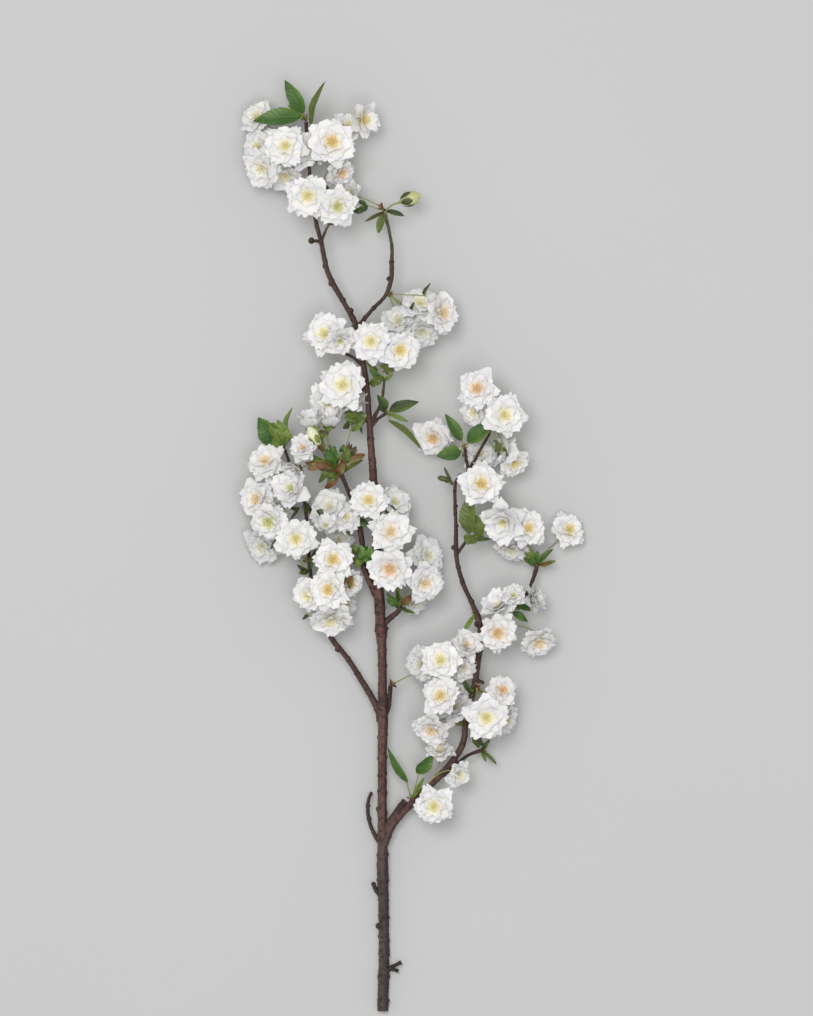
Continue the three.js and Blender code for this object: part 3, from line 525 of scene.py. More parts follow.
# %% [markdown]
# ### Stamens
# A filament is a thin pale thread, mottled with yellow. An anther is a grain of pollen sacs. Both take some
# of their flower's own tint.

# %% Stamen finishes
FILAMENT = grainy_material(
    "filament", 0.5, scale=700.0, detail=2.0, ends=(-0.2, 0.3), tints=("f3eeca", "e6dc9c"), depth=0.0002,
    heart=(0.25, 0.55))
ANTHER = grainy_material(
    "anther", 0.7, scale=1500.0, detail=2.0, ends=(-0.3, 0.3), tints=("f0da8c", "d8ac5c"), depth=0.0003,
    heart=(0.45, 0.7))
print("stamen finishes made")

# %% [markdown]
# ## The wood
# The stem and its side shoots are tapering rods that swell at their nodes. Each is a line of places with a
# radius, so a tree can draw the same rod along every one: it bends a curve through the places, sweeps a
# circle along it, and roughens the surface a little. Nothing reaches below the table: where the stem lies
# on it, the tree presses it flat.

# %% The stem's and the shoots' routes: [x, y, z, radius]
TRUNK = [
    [382.6, 1013.6, 5.0, 5.7], [383.6, 975, 5.0, 5.5], [384, 945, 5.2, 5.3], [383.4, 905, 8, 5.2],
    [382.5, 872, 11, 5.9], [382.4, 848, 13, 5.2], [382.3, 825, 15, 4.7], [382.3, 761, 21, 4.6],
    [382.8, 713, 25.5, 5.3], [382.5, 690, 27.5, 4.5], [382.3, 661, 30, 4.3], [381.6, 641, 31.5, 5.0],
    [381.2, 630, 32.3, 6.3], [380.3, 617, 33, 5.2], [379.4, 600, 34.5, 5.5], [378.5, 585, 35.5, 4.6],
    [377.5, 560, 37, 4.1], [375.5, 525, 39, 3.9], [374, 490, 40, 3.6], [373.2, 474, 40.5, 3.9],
    [369.4, 423, 42, 3.0], [367.5, 392, 42.5, 2.7], [364.2, 368, 43, 2.9], [361.5, 345, 43.5, 2.7],
    [356, 325, 44, 2.9], [344, 303, 44, 2.5], [332, 282, 44, 2.8], [326, 266, 43.5, 2.5],
    [321, 241, 43, 2.4], [316, 222, 42, 2.1], [312, 195, 40, 2.0], [309, 165, 38, 1.9], [306, 122, 35, 1.8],
]

SHOOTS = {
    "middle": [
        [377, 597, 34.5, 3.6], [366, 573, 38, 3.1], [362.6, 561, 39.5, 3.0], [362.4, 545, 41, 2.8],
        [360.5, 532, 42, 2.9], [358.3, 516, 43, 2.4], [353, 502, 44, 2.3], [346.4, 486.5, 45, 2.1],
        [340, 470, 46, 2.4],
    ],
    "left": [
        [380, 722, 25, 3.8], [377, 708, 26, 3.4], [363, 683, 28, 3.0], [347, 658, 29, 2.7],
        [331, 638, 30, 2.6], [322, 622, 30, 2.3], [314, 603, 29, 2.1], [309.5, 565, 27, 1.9],
        [306, 515, 27, 1.8], [302, 492, 28, 1.6], [291, 467, 29, 1.5], [284.5, 449, 30, 1.4],
    ],
    "right": [
        [384, 846, 14, 4.5], [392, 826, 16, 4.1], [406, 810, 18, 3.8], [425, 791, 21, 3.6],
        [441, 775, 23, 3.4], [456, 757, 25, 3.3], [464, 740, 26, 3.2], [466, 722, 27, 3.0],
        [476, 677, 30, 2.9], [480.6, 638, 32.3, 2.9], [479.3, 622, 33, 3.4], [472, 603, 34, 2.4],
        [464, 586, 35, 2.3], [458, 566, 36, 2.2], [456, 548, 37, 2.5], [456, 527, 38, 1.8],
        [455, 505, 39, 1.8], [455.5, 483, 40, 1.7], [462, 477, 40.5, 2.0], [468, 472, 41, 1.6],
        [466, 459, 42, 1.5], [464.7, 448, 43, 1.6],
    ],
    "rightFork": [
        [480, 630, 32.5, 2.3], [493, 618, 30, 1.8], [508, 609, 27, 1.7], [523.7, 599, 24, 1.7],
        [531, 585, 22, 1.6], [536, 571, 20, 2.3], [537.5, 562, 20, 1.8],
    ],
    "rightTop": [
        [467, 472, 41, 1.6], [474, 461, 42, 1.4], [480, 450, 43, 1.4], [491, 431, 43, 1.3],
        [494, 424, 43, 1.6],
    ],
    "upperRight": [
        [357, 328, 43.7, 2.4], [373, 309, 42, 1.9], [385.4, 296, 40, 2.0], [391, 280, 39, 2.3],
        [391.7, 262, 38, 2.3], [392, 248, 37, 1.7], [388.5, 228, 36, 1.6], [384.5, 214, 36, 2.2],
    ],
    "sideTwig": [[441, 777, 23, 2.3], [453, 768, 22, 1.8], [468, 756, 21, 1.6], [482, 751, 20, 2.2]],
    "leftTwig": [[380, 845, 13, 2.6], [370.5, 827, 13, 1.9], [367.5, 807, 13, 1.8], [371.3, 793, 13, 1.5]],
    "cutStub": [[383, 834, 15, 4.0], [391, 822, 16, 3.8], [398.6, 811, 17, 3.8], [406, 802, 17.5, 3.9]],
    "trunkStub": [[385, 716, 25, 2.6], [389, 706, 25.5, 2.0], [390.5, 686, 26, 2.2]],
    "trunkSpur": [[383, 625, 32, 3.6], [389, 619, 33, 2.9], [398.4, 611, 35, 2.5], [399.5, 605, 35, 2.3]],
    "lowFork": [[386, 973, 6, 2.9], [391, 970, 7, 2.5], [396, 967, 8, 1.8], [401, 964.5, 8.5, 2.1]],
    "lowForkTip": [[389, 971, 6.5, 2.2], [394, 972, 6.7, 1.7], [398.5, 973.5, 7, 1.9]],
    "footSpur": [
        [381, 899, 10, 2.2], [376.5, 893, 10.5, 1.9], [374, 888, 11, 2.0], [373.2, 885, 11, 2.5],
        [373, 883.5, 11, 1.2],
    ],
    "topStub": [[321, 242, 43, 1.8], [313, 241, 43, 1.6]],
    "topStalk": [[321, 244, 43, 1.7], [325, 233, 45, 1.3], [329, 225, 46, 1.3]],
    "upperLeft": [[364, 367, 43, 1.9], [352, 357, 44, 1.5], [337, 351, 46, 1.4]],
    "upperTwig": [[370, 425, 42, 2.0], [379, 408, 43, 1.7], [382.5, 397, 44, 1.5], [384.7, 378, 45, 1.3]],
    "leafTwig": [[371, 427, 42, 1.9], [378, 419, 43, 1.6], [385.5, 414, 44, 1.7]],
    "rightStub": [[476, 680, 30, 2.2], [484, 683, 31.5, 1.7]],
    "leafSpur": [[457, 554, 36.5, 1.9], [467, 540, 39, 1.5]],
}

# Small swellings on the bark, where a leaf or a twig once stood
BARK_KNOBS = [
    [379, 889, 10, 2.6], [378.7, 928, 7, 3.2], [378.6, 810, 16.5, 3.0], [311.6, 241, 43, 3.3],
    [453.6, 547.5, 37, 2.6], [460.5, 476.5, 41, 3.2], [477.5, 624, 33.5, 3.4], [388.6, 279, 39, 2.4],
]

# Thickened rings on the thin shoots, at last year's buds
NODE_RINGS = [
    [325.6, 266.5, 43.5, 3.1], [331.5, 283.5, 44, 3.4], [343, 300.5, 44, 3.1], [350.5, 311, 44, 3.2],
    [362.4, 350, 43.5, 3.1], [391.6, 262, 38, 2.9], [374, 308, 42, 2.7], [301.6, 492, 28, 2.3],
    [305.6, 538, 27, 2.5], [312.6, 597, 29, 2.8], [338, 649, 29.5, 3.2], [456.2, 526, 38, 2.4],
    [455.6, 506, 39, 2.4], [458.4, 567, 36, 2.8], [471.8, 602, 34, 3.0], [480.2, 650, 31.8, 3.4],
    [520, 602, 24.8, 2.3], [367.8, 807, 13, 2.5], [371, 795.5, 13, 2.0], [369, 820, 13, 2.6],
    [354, 504, 44, 2.9], [359.8, 527, 42.3, 3.3], [372.8, 470, 40.8, 4.0],
]
KNOB_SCAR = 0.7  # how scarred, and so how dark, the end of a knob or ring is, from 0 to 1
print("shoots:", 1 + len(SHOOTS))

# %% A tree that sweeps rods along lines
def rod_tree():
    """Rods along joined rows, each as thick as its rows' `thickness`, with some `Relief` of their own."""
    sizes = {"Sides": 16, "Step": 0.0014, "Relief": 0.18, "Grain": 150.0,
             "Knuckle": 0.20, "Knuckles": 48.0, "Material": None}
    tree, given, out = new_tree("Rods", **sizes)
    line = node(tree, "GeometryNodeMeshToCurve", {"Mesh": given["Rows"]})
    bend = node(tree, "GeometryNodeCurveSplineType", {"Curve": line}, spline_type="CATMULL_ROM")
    fine = node(tree, "GeometryNodeResampleCurve", {"Curve": bend, "Length": given["Step"]}, mode="LENGTH")
    run = stored(fine, "run", node(tree, "GeometryNodeSplineParameter", output=1))
    flow = stored(run, "flow", node(tree, "GeometryNodeInputTangent"), vector=True)
    ring = node(tree, "GeometryNodeCurvePrimitiveCircle", {"Resolution": given["Sides"], "Radius": 1.0})
    turn = stored(ring, "round", node(tree, "GeometryNodeSplineParameter"))
    thickness = named(tree, "thickness")
    inputs = {"Curve": flow, "Profile Curve": turn, "Scale": thickness, "Fill Caps": True}
    rod = node(tree, "GeometryNodeCurveToMesh", inputs)
    spot = node(tree, "GeometryNodeInputPosition")
    knobbly = noise(spot, given["Grain"], 2.0) + noise(spot, given["Grain"] * 3.0, 2.0) * 0.5
    wander = noise(spot, 30.0, 1.0) * 1.6
    from_knuckle = summed("ABSOLUTE", summed("FRACT", named(tree, "run") * given["Knuckles"] + wander) - 0.5)
    knuckle = smooth(from_knuckle, 0.0, 0.09, given["Knuckle"], 0.0)
    rough = (knobbly * given["Relief"] * 2.0 + knuckle) * thickness
    normal = node(tree, "GeometryNodeInputNormal")
    # The normal's x is kept as `flank`. The bark's finish uses it for painted shade on the right and a painted
    # highlight on the left.
    flank_for_painted_shade = stored(rod, "flank", part_of(normal, "X"))
    feed(out, finished(above_table(flank_for_painted_shade, spot + normal * rough), given["Material"]))
    return tree


ROD_TREE = rod_tree()
print("rod tree nodes:", len(ROD_TREE.nodes))

# %% The wood itself
YOUNG_SHOOTS = {"topStalk": 1.0, "upperRight": 0.6, "upperTwig": 0.5, "rightStub": 0.3}
OLD_SHOOTS = {
    "cutStub": 1.0, "lowFork": 0.8, "lowForkTip": 0.8, "leftTwig": 0.6, "trunkSpur": 0.5, "trunkStub": 0.5,
}
GREENING = 2.0  # a young shoot turns green towards its tip by this power of the way along it
KNOB_SHOULDER = 0.85  # the width of a knob's shoulders as a share of its own


def add_shoot(rows, route, scar=0.0, green=0.0):
    """Adds a line of [x, y, z, radius] places to the rows, darker or greener towards its end."""
    for step, (x, y, z, radius) in enumerate(route):
        share = step / (len(route) - 1)
        rows.add(place(x, y, z), joined=step > 0, thickness=radius * MM, scar=scar * share,
                 green=green * share ** GREENING)


def swelling(x, y, z, reach, radius, shoulder):
    """The route of a small round swelling that reaches this far to either side of its middle."""
    profile = ((-1.0, 0.3), (-0.6, shoulder), (0.0, 1.0), (0.6, shoulder), (1.0, 0.3))
    return [[x, y + reach * along, z, radius * width] for along, width in profile]


wood_rows = Rows()
add_shoot(wood_rows, TRUNK)
for name, route in SHOOTS.items():
    add_shoot(wood_rows, route, OLD_SHOOTS.get(name, 0.0), YOUNG_SHOOTS.get(name, 0.0))
for x, y, z, radius in (*BARK_KNOBS, *NODE_RINGS):
    add_shoot(wood_rows, swelling(x, y, z, radius, radius, KNOB_SHOULDER), KNOB_SCAR)
branch = grown("branch_wood", wood_rows, ROD_TREE, Material=BARK)
print("branch faces:", len(branch.data.polygons))

# %% [markdown]
# ### Lenticels
# Cherry bark breathes through lenticels, short corky dashes that lie across the stem. They are scattered
# evenly over the thicker wood, each turned so that its long side runs round the shoot, which is at right
# angles to the `flow` that the rod tree kept.

# %% A tree that scatters lenticels on the bark
def lenticel_tree():
    sizes = {"Seed": 7, "Spacing": 0.0046, "Most": 30000.0, "Long": 0.0010, "Wide": 0.0003,
             "Thinnest": 0.0024, "Material": None}
    tree, given, out = new_tree("Lenticels", **sizes)
    thick = smooth(named(tree, "thickness"), given["Thinnest"], given["Thinnest"] * 1.6)
    scatter = tree.nodes.new("GeometryNodeDistributePointsOnFaces")
    scatter.distribute_method = "POISSON"
    inputs = {"Mesh": given["Rows"], "Distance Min": given["Spacing"], "Density Max": given["Most"],
              "Density Factor": thick, "Seed": given["Seed"]}
    for key, value in inputs.items():
        feed(scatter.inputs[key], value)
    normal = Flow(scatter.outputs["Normal"])
    across = cross(normal, named(tree, "flow", vector=True))
    turned = node(tree, "FunctionNodeAxesToRotation", {0: normal, 1: across})
    size = node(tree, "FunctionNodeRandomValue", {2: 0.35, 3: 1.25, "Seed": given["Seed"]}, output=1)
    dash = node(tree, "GeometryNodeMeshIcoSphere", {"Radius": 1.0, "Subdivisions": 1})
    shape = vector_of(given["Long"], given["Wide"], given["Wide"] * 0.6) * size
    dashes = copied(Flow(scatter.outputs["Points"]), dash, Rotation=turned, Scale=shape)
    feed(out, finished(above_table(dashes, node(tree, "GeometryNodeInputPosition")), given["Material"]))
    return tree


lenticels = dressed("lenticels", branch, lenticel_tree(), Material=CORK)
print("lenticel faces:", len(lenticels.data.polygons))

# %% [markdown]
# ### Cut ends
# The stem and one stub were cut across. A thin disc closes each end. Its tree keeps how far out and how far
# round a point is, for the growth rings of the cut wood's finish.

# %% Discs on the cut ends
def disc_tree():
    """A round plate on every row, square to its `way` and as wide as its `thickness`."""
    tree, given, out = new_tree("Cut ends", Sides=32, Proud=0.0008, Material=None)
    inputs = {"Vertices": given["Sides"], "Radius Top": 0.94, "Radius Bottom": 1.0, "Depth": 0.12,
              "Fill Segments": 6}
    plate = node(tree, "GeometryNodeMeshCone", inputs)
    spot = node(tree, "GeometryNodeInputPosition")
    x, y = part_of(spot, "X"), part_of(spot, "Y")
    spread = stored(plate, "spread", summed("SQRT", x * x + y * y))
    marked = stored(spread, "around", summed("ARCTAN2", y, x) / math.tau)
    turned = facing(named(tree, "way", vector=True))
    width = named(tree, "thickness")
    plates = copied(given["Rows"], marked, Rotation=turned, Scale=vector_of(width, width, given["Proud"]))
    feed(out, finished(above_table(plates, node(tree, "GeometryNodeInputPosition")), given["Material"]))
    return tree


def cut_end(rows, end, before):
    """A disc over the end of a shoot, where end and before are its last two [x, y, z, radius] places."""
    way = (place(*end[:3]) - place(*before[:3])).normalized()
    rows.add(place(*end[:3]), way=way, thickness=end[3] * MM)


cut_rows = Rows()
cut_end(cut_rows, TRUNK[0], TRUNK[1])
cut_end(cut_rows, SHOOTS["cutStub"][-1], SHOOTS["cutStub"][-2])
cut_ends = grown("cut_ends", cut_rows, disc_tree(), Material=CUT_WOOD)
print("cut ends:", len(cut_rows.places))

# %% [markdown]
# ## Blades: petals, leaves, sepals and scales
# A petal and a leaf are the same kind of thing: a thin blade with a rib, wider in the middle, bent along
# its length and hollowed across. Both trees start from two small grids back to back, one for each skin. A
# formula then moves every point to its place on the blade. The skins part by the blade's thickness in the
# middle and meet at the edge, where they are merged, so each blade is closed.

# %% What both kinds of blade share
def skins(tree, rows, columns):
    """Two grids back to back, which keep how far along and aside a point is and on which skin it lies."""
    inputs = {"Size X": 1.0, "Size Y": 2.0, "Vertices X": rows, "Vertices Y": columns}
    grid = node(tree, "GeometryNodeMeshGrid", inputs)
    spot = node(tree, "GeometryNodeInputPosition")
    marked = stored(stored(grid, "along", part_of(spot, "X") + 0.5), "aside", part_of(spot, "Y"))
    front = stored(marked, "skin", 1.0)
    back = stored(node(tree, "GeometryNodeFlipFaces", {0: marked}), "skin", -1.0)
    return joined(stored(front, "below", 0.0, domain="FACE"), stored(back, "below", 1.0, domain="FACE"))


SEAM = 0.000004  # metres, nearer than this two points of the skins become one
RIM = 0.998  # a point this far out, as a share of the way, lies on the rim


def closed(geometry, spots):
    """The blades with their points at their spots, above the table, and their skins merged at the edge."""
    inputs = {"Geometry": above_table(geometry, spots), "Distance": SEAM}
    return node(geometry.tree, "GeometryNodeMergeByDistance", inputs)


def rimmed(blades, along, aside, material):
    """Smooth blades with a crisp rim, so that the light on a skin doesn't fade towards its edge."""
    on_rim = summed("MAXIMUM", summed("ABSOLUTE", aside), summed("ABSOLUTE", along * 2.0 - 1.0))
    rim = summed("GREATER_THAN", on_rim, RIM)
    inputs = {"Geometry": finished(blades, material), "Selection": rim, "Shade Smooth": False}
    return node(blades.tree, "GeometryNodeSetShadeSmooth", inputs, domain="EDGE")


print("blade helpers are ready")

# %% [markdown]
# ### The petal
# A petal leaves the heart steeply and bends outwards, so its angle turns evenly from `rise` to `flare`
# along its length, which makes its midline an arc of a circle. It has a narrow claw, is widest past its
# middle and ends in a round tip with a small notch. Its sides curl up, its edge is frilled by noise, and
# each petal leans a little to one side so that it overlaps its neighbour instead of cutting through it.

# %% A tree for petals
CROWDING = 1.4  # the power by which a petal's rows stand closer towards its tip
FRILL_LENGTHWISE = 2.2  # waves of the frill along and across a petal
FRILL_CROSSWISE = 2.1
TIP_FRILL = 0.24  # share of a petal's length that the frill moves its tip by
CORNER_FALL = 0.22  # share of a petal's length that the corners of its tip lie back by
NOTCH_SLOPE = 2.6  # how fast the notch closes to either side of the rib
WIDEST = 0.66  # where a petal is widest, as a share of its length
TIP_WIDTH = 0.56  # a petal's width at its tip, as a share of its widest


def petal_tree():
    sizes = {"Lengthwise": 11, "Crosswise": 9, "Thickness": 0.00035, "Claw": 0.16, "Material": None}
    tree, given, out = new_tree("Petals", **sizes)
    blades = copied(given["Rows"], skins(tree, given["Lengthwise"], given["Crosswise"]))
    v, u, skin = named(tree, "along"), named(tree, "aside"), named(tree, "skin")
    rise, flare, seed = named(tree, "rise"), named(tree, "flare"), named(tree, "seed")
    length, half = named(tree, "length"), named(tree, "half")
    axis, away, root = (named(tree, key, vector=True) for key in ("axis", "away", "root"))
    edge = u * u
    share = 1.0 - (1.0 - v) ** CROWDING
    tip = share ** 6.0
    frill = noise(vector_of(share * FRILL_LENGTHWISE, u * FRILL_CROSSWISE, seed), 1.0, 2.0)
    notch = summed("MAXIMUM", 1.0 - summed("ABSOLUTE", u) * NOTCH_SLOPE, 0.0) * named(tree, "notch")
    reached = share - share ** 3.0 * edge * CORNER_FALL - tip * notch + tip * frill * TIP_FRILL
    angle = rise + (flare - rise) * reached
    bend = flare - rise
    reach = (summed("SINE", angle) - summed("SINE", rise)) / bend * length
    height = (summed("COSINE", rise) - summed("COSINE", angle)) / bend * length
    widening = smooth(share, 0.0, WIDEST, given["Claw"], 1.0)
    width = half * widening * smooth(share, 0.6, 1.1, 1.0, TIP_WIDTH)
    normal = axis * summed("COSINE", angle) - away * summed("SINE", angle)
    curl = width * (edge * named(tree, "cup") + u * named(tree, "lean"))
    ruffle = frill * named(tree, "ruffle") * (edge + share * share)
    body = (1.0 - edge) * (1.0 - tip) * smooth(share, 0.0, 0.15)
    up = curl + ruffle + skin * given["Thickness"] * 0.5 * body
    side = cross(axis, away)
    spots = root + away * reach + axis * height + side * (u * width) + normal * up
    feed(out, rimmed(closed(blades, spots), v, u, given["Material"]))
    return tree


PETAL_TREE = petal_tree()
print("petal tree nodes:", len(PETAL_TREE.nodes))

# %% [markdown]
# ### The leaf
# A leaf runs from its base to a drawn-out tip. It arches along its rib, its halves fold up from the rib,
# and its edge is finely toothed and wavy. The same tree makes small leaflets, sepals and bud scales, with
# fewer rows and without teeth: those are blunter and widest past their middle. The upper and lower skins
# get different materials.

# %% A tree for leaves
TOOTH_DEPTH = 0.13  # share of a leaf's half width
WAVES = 11.0  # radians of waviness along a leaf's edge


def leaf_tree():
    sizes = {"Lengthwise": 37, "Crosswise": 9, "Thickness": 0.0004, "Top": None, "Back": None}
    tree, given, out = new_tree("Leaves", **sizes)
    blades = copied(given["Rows"], skins(tree, given["Lengthwise"], given["Crosswise"]))
    v, u, skin = named(tree, "along"), named(tree, "aside"), named(tree, "skin")
    length, half, teeth = named(tree, "length"), named(tree, "half"), named(tree, "teeth")
    forward, across, root = (named(tree, key, vector=True) for key in ("forward", "across", "root"))
    up = cross(across, forward)
    edge = u * u
    blunt = smooth(teeth, 0.5, 3.0, 1.0, 0.0)
    swell = summed("SINE", v ** (0.8 + blunt * 0.35) * math.pi) ** (0.85 - blunt * 0.25)
    saw = summed("FRACT", v * teeth) - 0.5
    notched = 1.0 + saw * smooth(teeth, 1.0, 3.0, 0.0, TOOTH_DEPTH)
    width = half * swell * notched
    wave = summed("SINE", v * WAVES + named(tree, "seed")) * edge * named(tree, "wave")
    twist = v * named(tree, "twist")
    turned_across = across * summed("COSINE", twist) + up * summed("SINE", twist)
    turned_up = up * summed("COSINE", twist) - across * summed("SINE", twist)
    arch = summed("SINE", v * math.pi) * named(tree, "arch") - v ** 3.0 * named(tree, "droop")
    lift = (summed("ABSOLUTE", u) * named(tree, "fold") + wave) * width
    body = (1.0 - edge) * smooth(v, 0.0, 0.1) * smooth(v, 0.9, 1.0, 1.0, 0.0)
    lift = lift + skin * given["Thickness"] * 0.5 * body
    rib = root + forward * (length * v) + up * (length * arch)
    spots = rib + turned_across * (u * width) + turned_up * lift
    leaf = rimmed(closed(blades, spots), v, u, given["Top"])
    below = summed("GREATER_THAN", named(tree, "below"), 0.5)
    feed(out, painted(leaf, given["Back"], Selection=below))
    return tree


LEAF_TREE = leaf_tree()
print("leaf tree nodes:", len(LEAF_TREE.nodes))

# %% [markdown]
# ## The blossoms
# Each row of the flower table gives the spur that the flower grows from, its place, its diameter, how far its
# axis tilts from straight up and towards where, the tint of its heart and its habit. A habit says how its
# petal rings stand: open flowers lie nearly flat, bowls and cups are younger, and narrow ones are seen from
# the side. A flower that would reach below the table is lifted onto it, as in CAD.

# %% Spurs and flowers
# [x, y, z, radius] of the knot of bud scales that each spray grows from
FLOWER_SPURS = {
    "top_upper": [312, 158, 40.5, 3.4], "top_back": [305.5, 150, 33.5, 3.2],
    "top_lower": [318, 214, 44, 3.4], "top_stalk": [329.5, 224, 46.5, 2.4],
    "upper_right": [382.5, 208, 38.5, 3.0], "upper_node": [388.5, 294, 41.5, 3.4],
    "upper_middle": [355, 333, 47.5, 3.8], "upper_left": [336, 351, 46.5, 2.4],
    "upper_twig": [385.5, 373, 46, 2.4], "middle_stem": [363, 389, 45.5, 3.4],
    "middle_tip": [337, 464, 47.5, 4.0], "left_upper": [300.5, 497, 30, 2.8],
    "left_lower": [307, 562, 30, 3.0], "left_fork": [317, 601, 31.5, 3.2],
    "left_root": [329, 632.5, 32.5, 3.0], "middle_upper": [355, 512, 46.5, 2.9],
    "centre_upper": [377, 506, 43.5, 3.8], "centre_lower": [380.5, 560, 41, 4.0],
    "centre_back": [379.5, 545, 36, 3.6], "centre_right": [380.5, 515, 38, 3.2],
    "trunk_spur": [400, 602.5, 35.5, 3.0], "right_leaf": [466, 456, 41, 2.6],
    "right_top": [494.5, 422, 43, 3.0], "right_upper": [461, 478.5, 42.5, 2.9],
    "fork_tip": [537.5, 559, 20.5, 3.2], "fork_low": [510, 607, 29, 3.0],
    "right_knee": [482, 631, 35.5, 3.6], "right_middle": [476, 688, 31.5, 3.6],
    "right_inner": [474.5, 662, 34, 3.2], "right_back": [469, 704, 24.5, 3.2],
    "right_lower": [466, 724, 30, 3.6], "trunk_stub": [391, 685, 27, 2.8],
    "right_base": [420, 793, 24, 4.0],
}

